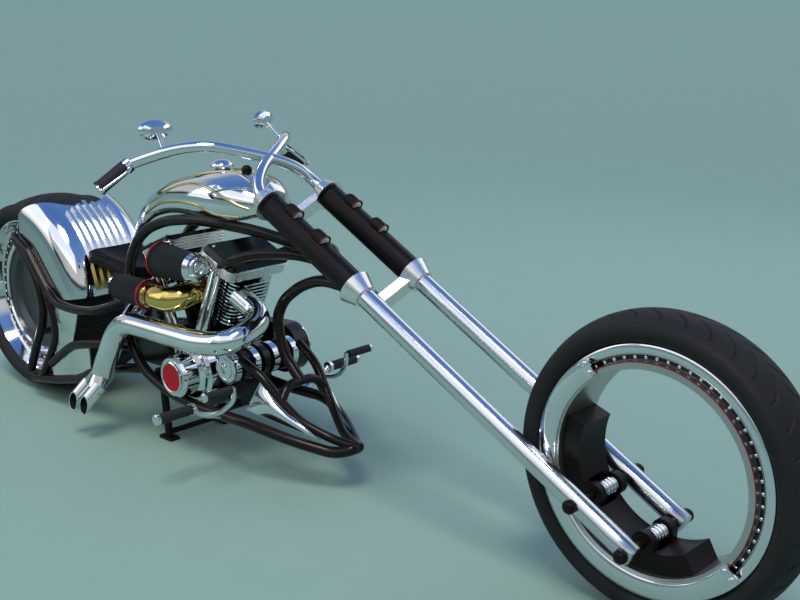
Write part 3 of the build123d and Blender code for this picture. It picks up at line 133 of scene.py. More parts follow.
# finishes: two tones and two roughnesses spread by patterns on Object coordinates, with a bump
finishes = dict(
    tyreRubber=dict(dark=(0.008, 0.009, 0.009), light=(0.015, 0.016, 0.016), rough=(0.55, 0.75), scale=320,
                    bump=0.25, gloss=0.26),
    chrome=dict(dark=(0.70, 0.72, 0.74), light=(0.80, 0.81, 0.82), metal=1, rough=(0.05, 0.10), scale=22),
    satinChrome=dict(dark=(0.76, 0.76, 0.74), light=(0.88, 0.87, 0.84), metal=1, rough=(0.22, 0.32),
                     scale=60),
    hammeredChrome=dict(dark=(0.46, 0.48, 0.47), light=(0.94, 0.94, 0.91), metal=1, rough=(0.20, 0.34),
                        scale=24, bump=0.5, depth=0.012),
    forkSteel=dict(dark=(0.62, 0.65, 0.67), light=(0.74, 0.76, 0.77), metal=1, rough=(0.16, 0.22),
                   scale=22),
    pipeChrome=dict(dark=(0.62, 0.64, 0.65), light=(0.92, 0.93, 0.93), metal=1, rough=(0.05, 0.15),
                    scale=60, stretch=(0.15, 1, 1)),
    brushedSteel=dict(dark=(0.42, 0.41, 0.40), light=(0.58, 0.57, 0.56), metal=1, rough=(0.30, 0.42),
                      scale=90, stretch=(1, 0.08, 1), bump=0.12, depth=0.0004),
    blackPaint=dict(dark=(0.004, 0.003, 0.003), light=(0.008, 0.006, 0.006), rough=(0.34, 0.46), scale=140,
                    bump=0.04, depth=0.0003, gloss=0.16),
    framePaint=dict(dark=(0.007, 0.004, 0.003), light=(0.013, 0.008, 0.006), rough=(0.16, 0.26), scale=90,
                    bump=0.02, depth=0.0003, gloss=0.25),
    engineBlack=dict(dark=(0.004, 0.004, 0.004), light=(0.010, 0.009, 0.009), rough=(0.14, 0.26), scale=70,
                     bump=0.05, gloss=0.36),
    gold=dict(dark=(0.62, 0.42, 0.10), light=(0.80, 0.60, 0.20), metal=1, rough=(0.05, 0.14), scale=40,
              bump=0.04),
    paleGold=dict(dark=(0.56, 0.46, 0.20), light=(0.72, 0.62, 0.32), metal=1, rough=(0.08, 0.18), scale=40),
    redPaint=dict(dark=(0.13, 0.002, 0.006), light=(0.22, 0.004, 0.010), rough=(0.24, 0.36), scale=120,
                  bump=0.03, depth=0.0003, gloss=0.35),
    badgeRed=dict(dark=(0.36, 0.002, 0.007), light=(0.48, 0.005, 0.012), rough=(0.30, 0.42), scale=120,
                  bump=0.03, depth=0.0003, gloss=0.22),
    gripRubber=dict(dark=(0.010, 0.011, 0.012), light=(0.020, 0.021, 0.022), rough=(0.55, 0.72), scale=420,
                    bump=0.3, depth=0.0004, gloss=0.35),
    filterGauze=dict(dark=(0.008, 0.012, 0.013), light=(0.016, 0.022, 0.024), rough=(0.60, 0.78), scale=900,
                     bump=0.4, depth=0.0004, gloss=0.25),
    drumSatin=dict(dark=(0.040, 0.048, 0.054), light=(0.062, 0.072, 0.080), metal=0.6, rough=(0.34, 0.46),
                   scale=60, stretch=(1, 0.2, 1), bump=0.05, depth=0.0004),
    soot=dict(dark=(0.003, 0.003, 0.003), light=(0.008, 0.007, 0.007), rough=(0.80, 0.95), scale=200,
              bump=0.3, gloss=0.2),
    leather=dict(dark=(0.003, 0.003, 0.003), light=(0.007, 0.007, 0.007), rough=(0.42, 0.58), scale=260,
                 kind="ShaderNodeTexVoronoi", bump=0.35, depth=0.0008, gloss=0.12),
    lampGlass=dict(dark=(0.80, 0.82, 0.84), light=(0.92, 0.94, 0.96), metal=0.2, rough=(0.04, 0.10),
                   scale=150, coat=1.0, coatRough=0.02, bump=0.1),
    mirrorGlass=dict(dark=(0.44, 0.47, 0.50), light=(0.54, 0.57, 0.60), metal=1, rough=(0.01, 0.03),
                     scale=10),
)


def pattern(tree, kind, scale, stretch=(1, 1, 1)):  # a texture on Object coordinates
    coord = tree.nodes.new("ShaderNodeTexCoord")
    mapping = tree.nodes.new("ShaderNodeMapping")
    texture = tree.nodes.new(kind)
    mapping.inputs["Scale"].default_value = stretch
    texture.inputs["Scale"].default_value = scale
    tree.links.new(coord.outputs["Object"], mapping.inputs["Vector"])
    tree.links.new(mapping.outputs["Vector"], texture.inputs["Vector"])
    return texture.outputs["Distance" if kind == "ShaderNodeTexVoronoi" else "Fac"]


def mixTones(tree, first, second, factor):  # base colour between two tones
    tones = tree.nodes.new("ShaderNodeMix")
    tones.data_type = "RGBA"
    tones.inputs["A"].default_value = (*first, 1)
    tones.inputs["B"].default_value = (*second, 1)
    tree.links.new(factor, tones.inputs["Factor"])
    tree.links.new(tones.outputs["Result"], tree.nodes["Principled BSDF"].inputs["Base Color"])


def makeFinish(name, dark, light, rough, scale, bump=0.0, depth=0.0005, metal=0.0, coat=0.0, coatRough=0.03,
               gloss=0.5, stretch=(1, 1, 1), kind="ShaderNodeTexNoise", wearScale=9.0):
    material = bpy.data.materials.new(name)
    material.use_nodes = True
    tree = material.node_tree
    shader = tree.nodes["Principled BSDF"]
    shader.inputs["Metallic"].default_value = metal
    shader.inputs["Coat Weight"].default_value = coat
    shader.inputs["Coat Roughness"].default_value = coatRough
    shader.inputs["Specular IOR Level"].default_value = gloss
    grain = pattern(tree, kind, scale, stretch)
    mixTones(tree, dark, light, pattern(tree, "ShaderNodeTexNoise", wearScale))
    spread = tree.nodes.new("ShaderNodeMapRange")
    spread.inputs["To Min"].default_value, spread.inputs["To Max"].default_value = rough
    tree.links.new(grain, spread.inputs["Value"])
    tree.links.new(spread.outputs["Result"], shader.inputs["Roughness"])
    if bump:
        relief = tree.nodes.new("ShaderNodeBump")
        relief.inputs["Strength"].default_value = bump
        relief.inputs["Distance"].default_value = depth
        tree.links.new(grain, relief.inputs["Height"])
        tree.links.new(relief.outputs["Normal"], shader.inputs["Normal"])
    return material


finish = {name: makeFinish(name, **look) for name, look in finishes.items()}

# two tones on one metal, split where a distance over the object passes a span
fins = dict(metal="chrome", first=(0.006, 0.006, 0.006), second=(0.76, 0.77, 0.78), span=(0.062, 0.067),
            origin=(-0.334, 0, 0.25), across=(1, 1, 0))  # dark at the barrel, bright on the fins
splitLooks = dict(
    ribMetal=dict(metal="satinChrome", first=(0.74, 0.54, 0.17), second=(0.92, 0.91, 0.84),
                  span=(0.475, 0.515), across=(0, 0, 1)),  # gold below the seat, bright above it
    fenderChromePaintedShade=dict(metal="chrome", first=(0.76, 0.77, 0.78), second=(0.50, 0.52, 0.53),
                      span=(0.150, 0.172), across=(0, 1, 0)),  # painted shade: a darker tone on the side walls stands in for a dark reflection that makes them look rounded
    frontFins=dict(fins, tilt=22.5),
    rearFins=dict(fins, tilt=-22.5),
)


def splitFinish(name, metal, first, second, span, across, origin=(0, 0, 0), tilt=0.0):
    material = finish[metal].copy()
    material.name = name
    tree = material.node_tree
    coord = tree.nodes.new("ShaderNodeTexCoord")
    place = tree.nodes.new("ShaderNodeMapping")
    place.vector_type = "TEXTURE"
    place.inputs["Location"].default_value = origin
    place.inputs["Rotation"].default_value = (0, radians(tilt), 0)
    kept = tree.nodes.new("ShaderNodeVectorMath")
    kept.operation = "MULTIPLY"
    kept.inputs[1].default_value = across
    length = tree.nodes.new("ShaderNodeVectorMath")
    length.operation = "LENGTH"
    step = tree.nodes.new("ShaderNodeMapRange")
    step.inputs["From Min"].default_value, step.inputs["From Max"].default_value = span
    tree.links.new(coord.outputs["Object"], place.inputs["Vector"])
    tree.links.new(place.outputs["Vector"], kept.inputs[0])
    tree.links.new(kept.outputs["Vector"], length.inputs[0])
    tree.links.new(length.outputs["Value"], step.inputs["Value"])
    mixTones(tree, first, second, step.outputs["Result"])
    return material


finish.update({name: splitFinish(name, **look) for name, look in splitLooks.items()})
print("stage: finishes")


# surfaces: every shell is a grid of points turned into quads
def shell(points, closeU=False, closeV=False):
    rows, cols = points.shape[:2]
    steps = np.arange(rows if closeU else rows - 1), np.arange(cols if closeV else cols - 1)
    u, v = np.meshgrid(*steps, indexing="ij")
    u2, v2 = (u + 1) % rows, (v + 1) % cols
    quads = np.stack([u * cols + v, u2 * cols + v, u2 * cols + v2, u * cols + v2], -1).reshape(-1, 4)
    return points.reshape(-1, 3), quads


def scattered(one, places):  # copies of one shell, moved to each place
    points, quads = one
    places = np.asarray(places, float)
    steps = np.arange(len(places))[:, None, None] * len(points)
    return (points[None] + places[:, None]).reshape(-1, 3), (quads[None] + steps).reshape(-1, 4)


def mirrored(one):  # the same shell on the other side of the bike
    points, quads = one
    return points * (1, -1, 1), quads[:, ::-1]


def both(*shells):  # shells of the right side with their mirror images
    return [*shells, *[mirrored(one) for one in shells]]


def units(vectors):  # each row brought to length one
    return vectors / np.linalg.norm(vectors, axis=-1, keepdims=True)


def square(axis):  # an axis with two unit vectors square to it
    axis = units(np.asarray(axis, float))
    first = units(np.cross(axis, (0, 0, 1) if abs(axis[2]) < 0.9 else (1, 0, 0)))
    return axis, first, np.cross(axis, first)


def around(count):  # angles of a closed ring
    return np.linspace(0, 2 * pi, count, endpoint=False)


def onRing(centre, radius, angle, y):
    # p = centre + (radius cos a, y, radius sin a): points round an axle, in millimetres from its middle
    spots = np.stack(np.broadcast_arrays(radius * np.cos(angle), y, radius * np.sin(angle)), -1)
    return np.asarray(centre) + spots / 1000


def turned(profile, origin, axis, sides=40):
    # p(t, s) = origin + height(s) axis + radius(s) (cos t, sin t) across the axis;
    # a profile's rows are height, radius
    height, radius = np.asarray(profile, float).T / 1000
    axis, first, second = square(axis)
    t = around(sides)[:, None, None]
    ring = np.cos(t) * first + np.sin(t) * second
    spots = height[None, :, None] * axis + radius[None, :, None] * ring
    return shell(np.asarray(origin) + spots, closeU=True)


def carried(path, profile, ups=None, closed=False, swell=1.0):
    # p(i, j) = path(i) + swell(i) (a(j) side(i) + b(j) up(i));
    # without given ups the frame turns as little as it can
    path = np.asarray(path, float)
    profile = np.asarray(profile, float) / 1000
    along = units(np.roll(path, -1, 0) - np.roll(path, 1, 0) if closed else np.gradient(path, axis=0))
    if ups is None:
        up = square(along[0])[1]
        ups = []
        for direction in along:
            up = units(up - direction * (up @ direction))
            ups.append(up)
    ups = np.asarray(ups, float)
    side = np.cross(along, ups)
    swell = np.broadcast_to(swell, len(path))[:, None, None]
    section = profile[None, :, :1] * side[:, None] + profile[None, :, 1:] * ups[:, None]
    points = path[:, None] + swell * section
    return shell(points if closed else capped(points), closeU=closed, closeV=True)


def capped(points):  # first and last rows closed to their middles
    ends = np.repeat(points[[0, -1]].mean(1, keepdims=True), points.shape[1], 1)
    return np.concatenate([ends[:1], points, ends[1:]])


def circle(radius, sides=12, flat=1.0):  # outline of a round or flattened wire
    t = np.linspace(0, -2 * pi, sides, endpoint=False)
    return np.stack([radius * np.cos(t), flat * radius * np.sin(t)], 1)


def smoothPath(keys, count):
    # Catmull-Rom curve through the keys
    keys = np.asarray(keys, float)
    keys = np.concatenate([2 * keys[:1] - keys[1:2], keys, 2 * keys[-1:] - keys[-2:-1]])
    place = np.linspace(0, len(keys) - 3 - 1e-9, count)
    k, f = place.astype(int), (place % 1)[:, None]
    a, b, c, d = keys[k], keys[k + 1], keys[k + 2], keys[k + 3]
    square2, cube = 2 * a - 5 * b + 4 * c - d, 3 * b - a - 3 * c + d
    return 0.5 * (2 * b + (c - a) * f + square2 * f ** 2 + cube * f ** 3)


def closeMesh(mesh, sharp):  # poles and seams merged, normals outwards, edges above an angle kept sharp
    cage = bmesh.new()
    cage.from_mesh(mesh)
    bmesh.ops.remove_doubles(cage, verts=cage.verts, dist=1e-6)
    bmesh.ops.dissolve_degenerate(cage, edges=cage.edges, dist=1e-7)
    bmesh.ops.recalc_face_normals(cage, faces=cage.faces)
    for face in cage.faces:
        face.smooth = True
    for edge in cage.edges:
        edge.smooth = len(edge.link_faces) == 2 and edge.calc_face_angle(0.0) < radians(sharp)
    cage.to_mesh(mesh)
    cage.free()


def makeObject(name, points, quads, material, sharp=40.0):
    mesh = bpy.data.meshes.new(name)
    mesh.from_pydata(points.tolist(), [], quads.tolist())
    closeMesh(mesh, sharp)
    mesh.materials.append(material)
    made = bpy.data.objects.new(name, mesh)
    scene.collection.objects.link(made)
    return made


def addPiece(name, shells, look, body, replaced=(), sharp=40.0):
    starts = np.cumsum([0] + [len(points) for points, quads in shells])
    points = np.concatenate([points for points, quads in shells])
    quads = np.concatenate([quads + start for (_, quads), start in zip(shells, starts)])
    piece = makeObject(name, points, quads, finish[look], sharp)
    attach(piece, body)
    if replaced:
        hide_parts(*replaced)
    return piece


# floor: level under the bike, z(r) = rise ((r - flat) / (reach - flat))^2 further out
radii = np.geomspace(studio["floorFlat"], studio["floorReach"], studio["floorRings"])
radii = np.concatenate([[0.0], radii])
outward = (radii - studio["floorFlat"]) / (studio["floorReach"] - studio["floorFlat"])
lift = studio["floorRise"] * np.clip(outward, 0, 1) ** 2
floorTurn = around(studio["floorSides"])[:, None]
dish = np.stack([radii * np.cos(floorTurn), radii * np.sin(floorTurn), lift + 0 * floorTurn], -1)
floorPaint = makeFinish("floorPaint", studio["floorDark"], studio["floorTone"], studio["floorRough"],
                        studio["floorGrain"], gloss=studio["floorGloss"])
floor = makeObject("floor", *shell(dish, closeU=True), floorPaint)
print("stage: floor")

# looks of the solids
solidLooks = dict(
    chrome="""front_rim rear_rim front_guards crossbar_sleeves fork_tubes handlebar hand_levers mirrors
        fuel_tank tank_cap rocker_boxes pushrod_tubes cam_cover filter_caps belly_panels foot_controls""",
    pipeChrome="exhaust_front exhaust_rear",
    satinChrome="lower_clamp upper_clamp steering_stem",
    # the rear fender's side walls carry painted shade, a darker tone standing in for reflection
    fenderChromePaintedShade="rear_fender",
    ribMetal="fender_ribs",
    frontFins="front_cylinder",
    rearFins="rear_cylinder",
    hammeredChrome="tail_panels",
    brushedSteel="front_stator",
    blackPaint="front_carrier fork_crossbars fork_covers fork_lamps centre_stand",
    drumSatin="rear_drum",
    framePaint="""frame_neck frame_upper_rails frame_stays frame_cradle frame_inner_tubes frame_cross_tubes
        frame_tail_right frame_tail_left""",
    engineBlack="crankcase oil_drum rocker_covers primary_cover gearbox",
    gold="intake_elbows",
    redPaint="filter_rings",
    badgeRed="cam_badge",
    gripRubber="grips foot_pegs pedal_rubbers air_filters",
    tyreRubber="front_tyre rear_tyre",
    leather="seat",
    lampGlass="fork_lamp_lenses",
    mirrorGlass="mirror_glasses",
)
for look, names in solidLooks.items():
    for name in names.split():
        solid = nodes[name]
        solid.data.materials.clear()
        solid.data.materials.append(finish[look])
print("stage: solids dressed")


# tyres with swept grooves
tyres = dict(
    front=dict(centre=frontAxle, outer=345, bead=284, half=75, beadHalf=58, shoulder=(54, 13),
               columns=1080, crownRows=43, grooves=36),
    rear=dict(centre=rearAxle, outer=338, bead=262, half=158, beadHalf=136, shoulder=(120, 24),
              columns=1008, crownRows=61, grooves=32),
)
tread = dict(depth=4.0, halfWidth=3.2, flank=1.25, sweep=62.0, inner=0.08, innerFade=0.05, outer=1.0,
             past=0.06, outerFade=0.12, crownDrop=6, sideBulge=0.45, sideRows=15, beadRows=4, ring=0.9,
             ringLevels=(0.30, 0.62), ringHalf=0.035, ringFrom=0.8, ringClear=4)


def arcThrough(a, b, c, count):
    # circle through three points of a section, from a to c
    a, b, c = complex(*a), complex(*b), complex(*c)
    w = (c - a) / (b - a)
    middle = a + (b - a) * (w - abs(w) ** 2) / (2j * w.imag)
    toB, toC = np.angle((b - middle) / (a - middle)), np.angle((c - middle) / (a - middle))
    if toB * toC < 0 or abs(toB) > abs(toC):
        toC -= np.sign(toC) * 2 * pi
    z = middle + (a - middle) * np.exp(1j * toC * np.linspace(0, 1, count))
    return np.stack([z.real, z.imag], 1)


def tyreShell(centre, outer, bead, half, beadHalf, shoulder, columns, crownRows, grooves):
    # section turned about the axle; r(t, s) falls by the groove depth where t - t_k = sweep (1 - s)^2 / r,
    # s being the share of the way from the middle to the shoulder
    shoulderHalf, shoulderR = shoulder[0], outer - shoulder[1]
    sideR = bead + tread["sideBulge"] * (outer - bead)
    left = arcThrough((-beadHalf, bead), (-half, sideR), (-shoulderHalf, shoulderR), tread["sideRows"])
    crown = arcThrough((-shoulderHalf, shoulderR), (0, outer), (shoulderHalf, shoulderR), crownRows)
    under = np.linspace(beadHalf, -beadHalf, tread["beadRows"])[1:-1]
    under = np.stack([under, np.full_like(under, bead)], 1)
    y, r = np.concatenate([left[:-1], crown, (left[:-1] * (-1, 1))[::-1], under]).T
    t = around(columns)[:, None]
    share = np.abs(y) / shoulderHalf
    lastShare = tread["outer"] + tread["past"]
    onCrown = (r > shoulderR - tread["crownDrop"]) & (share < lastShare)
    spacing = 2 * pi / grooves
    way = np.where(y < 0, 1.0, -1.0)
    line = tread["sweep"] / outer * (1 - np.minimum(share, 1)) ** 2
    offset = np.where(y < 0, 0.0, 0.5 * spacing)
    gap = ((t - offset - line + spacing / 2) % spacing - spacing / 2) * r
    cut = np.clip(tread["flank"] - np.abs(gap) / tread["halfWidth"], 0, 1)
    fadeIn = np.clip((share - tread["inner"]) / tread["innerFade"], 0, 1)
    fadeOut = np.clip((lastShare - share) / tread["outerFade"], 0, 1)
    depth = tread["depth"] * cut * fadeIn * fadeOut * onCrown
    rings = np.zeros_like(r)
    for level in tread["ringLevels"]:
        away = np.abs((r - bead) / (outer - bead) - level)
        rings += tread["ring"] * np.clip(1 - away / tread["ringHalf"], 0, 1)
    onSide = (np.abs(y) > tread["ringFrom"] * beadHalf) & (r < shoulderR - tread["ringClear"])
    return shell(onRing(centre, r - depth, t, y - rings * way * onSide), closeU=True, closeV=True)


for place, shape in tyres.items():
    addPiece(f"{place}TreadTyre", [tyreShell(**shape)], "tyreRubber", f"{place}_wheel",
             [f"{place}_tyre"], sharp=60)
print("stage: tyres")


# rim lands with studs, a crown on the front rim and red lines
rims = dict(
    front=dict(centre=frontAxle, land=(246.6, 256.6), face=50.0, studs=60, studR=251.6),
    rear=dict(centre=rearAxle, land=(222.6, 239.4), face=93.0, studs=48, studR=231.0),
)
rimTrim = dict(band=0.7, bandSides=120, stud=[(-1.0, 4.4), (1.2, 4.4), (2.4, 3.9), (3.4, 2.6), (3.9, 0.0)],
               studSides=10)
oneStud = turned(rimTrim["stud"], (0, 0, 0), rightWay, rimTrim["studSides"])
for place, rim in rims.items():
    low, high = rim["land"]
    face, raised = rim["face"], rim["face"] + rimTrim["band"]
    bandProfile = [(face, low), (face, high), (raised, high), (raised, low), (face, low)]
    band = turned(bandProfile, rim["centre"], rightWay, rimTrim["bandSides"])
    addPiece(f"{place}RimBand", both(band), "engineBlack", f"{place}_wheel")
    studRing = scattered(oneStud, onRing(rim["centre"], rim["studR"], around(rim["studs"]), -raised))
    addPiece(f"{place}RimStuds", both(studRing), "chrome", f"{place}_wheel")

rimCrown = dict(inner=260.0, outer=283.0, face=60.0, height=3.6, sunk=0.5, rows=24, sides=200)
# y(s) = face + height sin(pi s)^(2/3) from the inner to the outer edge
crownShare = np.linspace(0, 1, rimCrown["rows"])
crownRise = (rimCrown["height"] + rimCrown["sunk"]) * np.sin(pi * crownShare) ** (2 / 3)
crownR = rimCrown["inner"] + (rimCrown["outer"] - rimCrown["inner"]) * crownShare
crownProfile = np.stack([rimCrown["face"] - rimCrown["sunk"] + crownRise, crownR], 1)
crownProfile = np.concatenate([crownProfile, crownProfile[:1]])
crownRing = turned(crownProfile, frontAxle, rightWay, rimCrown["sides"])
addPiece("frontRimCrown", both(crownRing), "chrome", "front_wheel")

redLine = dict(radius=244.2, face=66.4, start=-36.0, end=125.0, wire=1.5, samples=110,
               rearRadius=221.0, rearFace=93.6, rearWire=2.3, rearSamples=160)
sweepAngles = np.radians(np.linspace(redLine["start"], redLine["end"], redLine["samples"]))
arc = onRing(frontAxle, redLine["radius"], sweepAngles, -redLine["face"])
frontLine = carried(arc, circle(redLine["wire"], sides=8))
addPiece("frontRedLine", both(frontLine), "redPaint", "front_end")
loop = onRing(rearAxle, redLine["rearRadius"], around(redLine["rearSamples"]), -redLine["rearFace"])
rearLine = carried(loop, circle(redLine["rearWire"], sides=8), closed=True)
addPiece("rearRedLine", both(rearLine), "redPaint", "rear_wheel")

# screws on the guard clips and domed ends on the cross-bars
clips = dict(angles=(127.0, 322.0), radii=(245.0, 267.0), face=76.0,
             screw=[(-1, 6), (1.6, 6), (3.4, 4.2), (4.0, 0)])
clipAngles, clipRadii = np.meshgrid(np.radians(clips["angles"]), clips["radii"])
clipSpots = onRing(frontAxle, clipRadii.ravel(), clipAngles.ravel(), -clips["face"])
clipScrews = scattered(turned(clips["screw"], (0, 0, 0), rightWay, sides=16), clipSpots)
addPiece("guardClipScrews", both(clipScrews), "chrome", "front_end")

# the fork's foot is measured from the front axle
fork = dict(rake=61.4, behind=152.0, below=85.0, length=1322.0, gap=107.0)
rake = radians(fork["rake"])
forkUp = np.array([-sin(rake), 0, cos(rake)])
forkAhead = np.array([cos(rake), 0, sin(rake)])
forkFoot = 1000 * np.array(frontAxle) - fork["behind"] * forkAhead - fork["below"] * forkUp


def onFork(station, y=0.0, forward=0.0):  # a point along the fork, in metres
    return (forkFoot + station * forkUp + forward * forkAhead + np.array([0, y, 0])) / 1000


crossbars = dict(stations=(16.0, 167.0), end=142.3,
                 dome=[(-1.0, 15.0), (1.0, 15.0), (4.0, 13.5), (7.0, 9.0), (8.5, 0.0)])
domes = [turned(crossbars["dome"], onFork(station, -crossbars["end"]), rightWay, sides=24)
         for station in crossbars["stations"]]
addPiece("crossbarDomes", both(*domes), "blackPaint", "front_end")

# domed faces on the half-ring guards
guards = dict(start=129.5, end=319.5, inner=236.0, outer=277.0, face=71.0, crown=4.4, lip=1.2, back=0.5,
              turns=150, rows=22, backStep=7)
guardTurn = np.radians(np.linspace(guards["start"], guards["end"], guards["turns"]))[:, None]
# y(s) = face + lip sin(pi s)^(1/4) + crown (1 - (2 s - 1)^2) across the ring, and a flat back
front = np.linspace(0, 1, guards["rows"])
back = front[:0:-guards["backStep"]]
guardRise = guards["lip"] * np.sin(pi * front) ** 0.25 + guards["crown"] * (1 - (2 * front - 1) ** 2)
guardRise = np.concatenate([guardRise, np.full_like(back, -guards["back"])])
guardR = guards["inner"] + (guards["outer"] - guards["inner"]) * np.concatenate([front, back])
guardGrid = onRing(frontAxle, guardR, guardTurn, -guards["face"] - guardRise)
guardFace = shell(capped(guardGrid), closeV=True)
addPiece("guardFaces", both(guardFace), "chrome", "front_end", sharp=50)

# handlebar: two tubes that cross, on smooth curves through the same corners as the solid
bars = dict(corners=[(42, 107, 0), (100, 60, 30), (174, -60, 33), (259, -170, 19)], radius=16.0,
            gripStart=(368, -288, -119), gripToward=(353, -366, -169), gripSteps=(-20.0, 14.0, 98.0),
            samples=26, collar=[(0, 0), (0, 25), (8, 25), (12, 22), (14, 17), (14, 0)])


def onBar(up, y, forward):  # a point measured from the fork's top
    return onFork(fork["length"] + up, y, forward)


gripWay = units(onBar(*bars["gripToward"]) - onBar(*bars["gripStart"]))
gripSpots = [onBar(*bars["gripStart"]) + gripWay * step / 1000 for step in bars["gripSteps"]]
barKeys = np.array([onBar(0, fork["gap"], 0), *[onBar(*corner) for corner in bars["corners"]], *gripSpots])
# quadratic spline: each key pulls the curve between the middles of its two runs
middles = (barKeys[1:] + barKeys[:-1]) / 2
middles[0], middles[-1] = barKeys[0], barKeys[-1]
f = np.linspace(0, 1, bars["samples"], endpoint=False)[None, :, None]
first, key, last = middles[:-1, None], barKeys[1:-1, None], middles[1:, None]
barPath = ((1 - f) ** 2 * first + 2 * f * (1 - f) * key + f ** 2 * last).reshape(-1, 3)
barTube = carried(np.concatenate([barPath, barKeys[-1:]]), circle(bars["radius"], sides=28))
barCollar = turned(bars["collar"], onBar(0, -fork["gap"], 0), forkUp)
addPiece("handlebarTubes", both(barTube, barCollar), "chrome", "front_end", ["handlebar"])

# fork tubes with rolled ends
forkTube = dict(end=[(0, 0), (0, 19), (1.5, 23)], rolled=4.0, radius=25.0, rows=24, sides=72)
tubeHeights = np.linspace(forkTube["rolled"], fork["length"], forkTube["rows"])
tubeWall = np.stack([tubeHeights, np.full_like(tubeHeights, forkTube["radius"])], 1)
tubeProfile = np.concatenate([forkTube["end"], tubeWall, [(fork["length"], 0)]])
forkShell = turned(tubeProfile, onFork(0, -fork["gap"]), forkUp, forkTube["sides"])
addPiece("forkTubeShells", both(forkShell), "forkSteel", "front_end", ["fork_tubes"])

# red rims on the fork lamps
lampRim = dict(stations=(1086.0, 1198.0), forward=36.0, radius=18.2, wire=2.0, samples=40)
t = around(lampRim["samples"])[:, None]
lampRing = lampRim["radius"] / 1000 * (np.cos(t) * forkAhead + np.sin(t) * np.array([0, 1.0, 0]))
lampSpots = [onFork(station, -fork["gap"], lampRim["forward"]) for station in lampRim["stations"]]
lampWire = circle(lampRim["wire"], sides=8)
rimShells = [carried(spot + lampRing, lampWire, closed=True) for spot in lampSpots]
addPiece("lampRims", both(*rimShells), "redPaint", "front_end")
print("stage: rim trim and fork trim")


# fuel tank: gold-edged ridges laid on its skin, a small knob in front of the cap, and a domed cap
ridges = dict(
    runs=dict(
        top=[(700, -34, 781), (790, -40, 813), (893, -40, 836), (967, -32, 848), (1025, -31, 850),
             (1084, -36, 839), (1120, -38, 822)],
        upper=[(700, -88, 735), (762, -104, 763), (820, -103, 792), (874, -101, 809), (924, -102, 818),
               (967, -106, 818), (1002, -109, 814), (1034, -110, 806), (1057, -109, 797), (1088, -102, 785),
               (1116, -90, 771), (1136, -74, 763)],
        lower=[(660, -76, 700), (722, -98, 727), (763, -106, 742), (806, -111, 752), (845, -115, 758),
               (883, -119, 762), (918, -121, 763), (951, -121, 763), (972, -121, 760), (1007, -116, 749),
               (1034, -110, 741), (1076, -99, 739), (1106, -83, 740)],
    ),
    width=4.4, height=0.8, samples=90, smoothing=9,
)
tank = nodes["fuel_tank"]


def onTank(keys):  # nearest points of the tank's skin, with its normals, then smoothed along the run
    path = smoothPath([at(*key) for key in keys], ridges["samples"])
    hits = [tank.closest_point_on_mesh(Vector(p)) for p in path]
    spots = np.array([hit[1] for hit in hits])
    normals = np.array([hit[2] for hit in hits])
    weights = np.hanning(ridges["smoothing"]) / np.hanning(ridges["smoothing"]).sum()
    extra = ridges["smoothing"] // 2
    longer = np.concatenate([np.repeat(normals[:1], extra, 0), normals, np.repeat(normals[-1:], extra, 0)])
    return spots, units(np.stack([np.convolve(longer[:, k], weights, "valid") for k in range(3)], 1))


ridgeShells = []
for keys in ridges["runs"].values():
    spots, normals = onTank(keys)
    along = units(np.gradient(spots, axis=0))
    ups = units(normals - along * (normals * along).sum(1, keepdims=True))
    ridgeShells.append(carried(spots, circle(ridges["width"], sides=14, flat=ridges["height"]), ups))
addPiece("tankRidges", both(*ridgeShells), "paleGold", "chassis")
knob = dict(above=(1045.0, 0, 870.0), profile=[(-6, 15), (6, 15), (12, 13), (17, 8), (19, 0)])
knobFoot = tank.closest_point_on_mesh(Vector(at(*knob["above"])))[1]
knobShell = turned(knob["profile"], knobFoot, (0, 0, 1), sides=28)
addPiece("tankKnob", [knobShell], "blackPaint", "chassis")
tankCap = dict(place=(931.0, 0, 833.0),
               profile=[(0, 0), (0, 24), (16, 22), (20, 24), (21, 33), (23, 34.6), (26, 34.6), (30, 33),
                        (35, 29), (40, 22), (43.5, 12), (45, 0)])
capDome = turned(tankCap["profile"], at(*tankCap["place"]), (0, 0, 1), sides=56)
addPiece("tankCapDome", [capDome], "chrome", "chassis", ["tank_cap"])
print("stage: tank trim")


# engine trim: bands and bolts on the rocker boxes
engine = dict(crank=(873.0, 250.0), tilts=(22.5, -22.5), boxLevel=350.0, boxHeight=38.0,
              boxLow=(104.0, 70.0), boxHigh=(112.0, 75.0), corner=20.0,
              bands=(0.18, 0.40, 0.62, 0.84), wire=2.6, coverTop=402.3, boltSpread=(84.0, 46.0),
              bolt=[(-2, 6.5), (3, 6.5), (4.5, 5), (5, 0)])


def boxPath(tilt, level, halfY, halfX, corner, count=7):
    # rounded rectangle across the bore axis, at a height along it
    c, s = cos(radians(tilt)), sin(radians(tilt))
    turns = np.concatenate([np.linspace(q, q + pi / 2, count) for q in (0, pi / 2, pi, 1.5 * pi)])
    y = np.repeat([1, -1, -1, 1], count) * (halfY - corner) + corner * np.cos(turns)
    x = np.repeat([1, 1, -1, -1], count) * (halfX - corner) + corner * np.sin(turns)
    base = at(engine["crank"][0] + level * s, 0, engine["crank"][1] + level * c)
    return base + (y[:, None] * np.array([0, 1.0, 0]) + x[:, None] * np.array([c, 0, -s])) / 1000


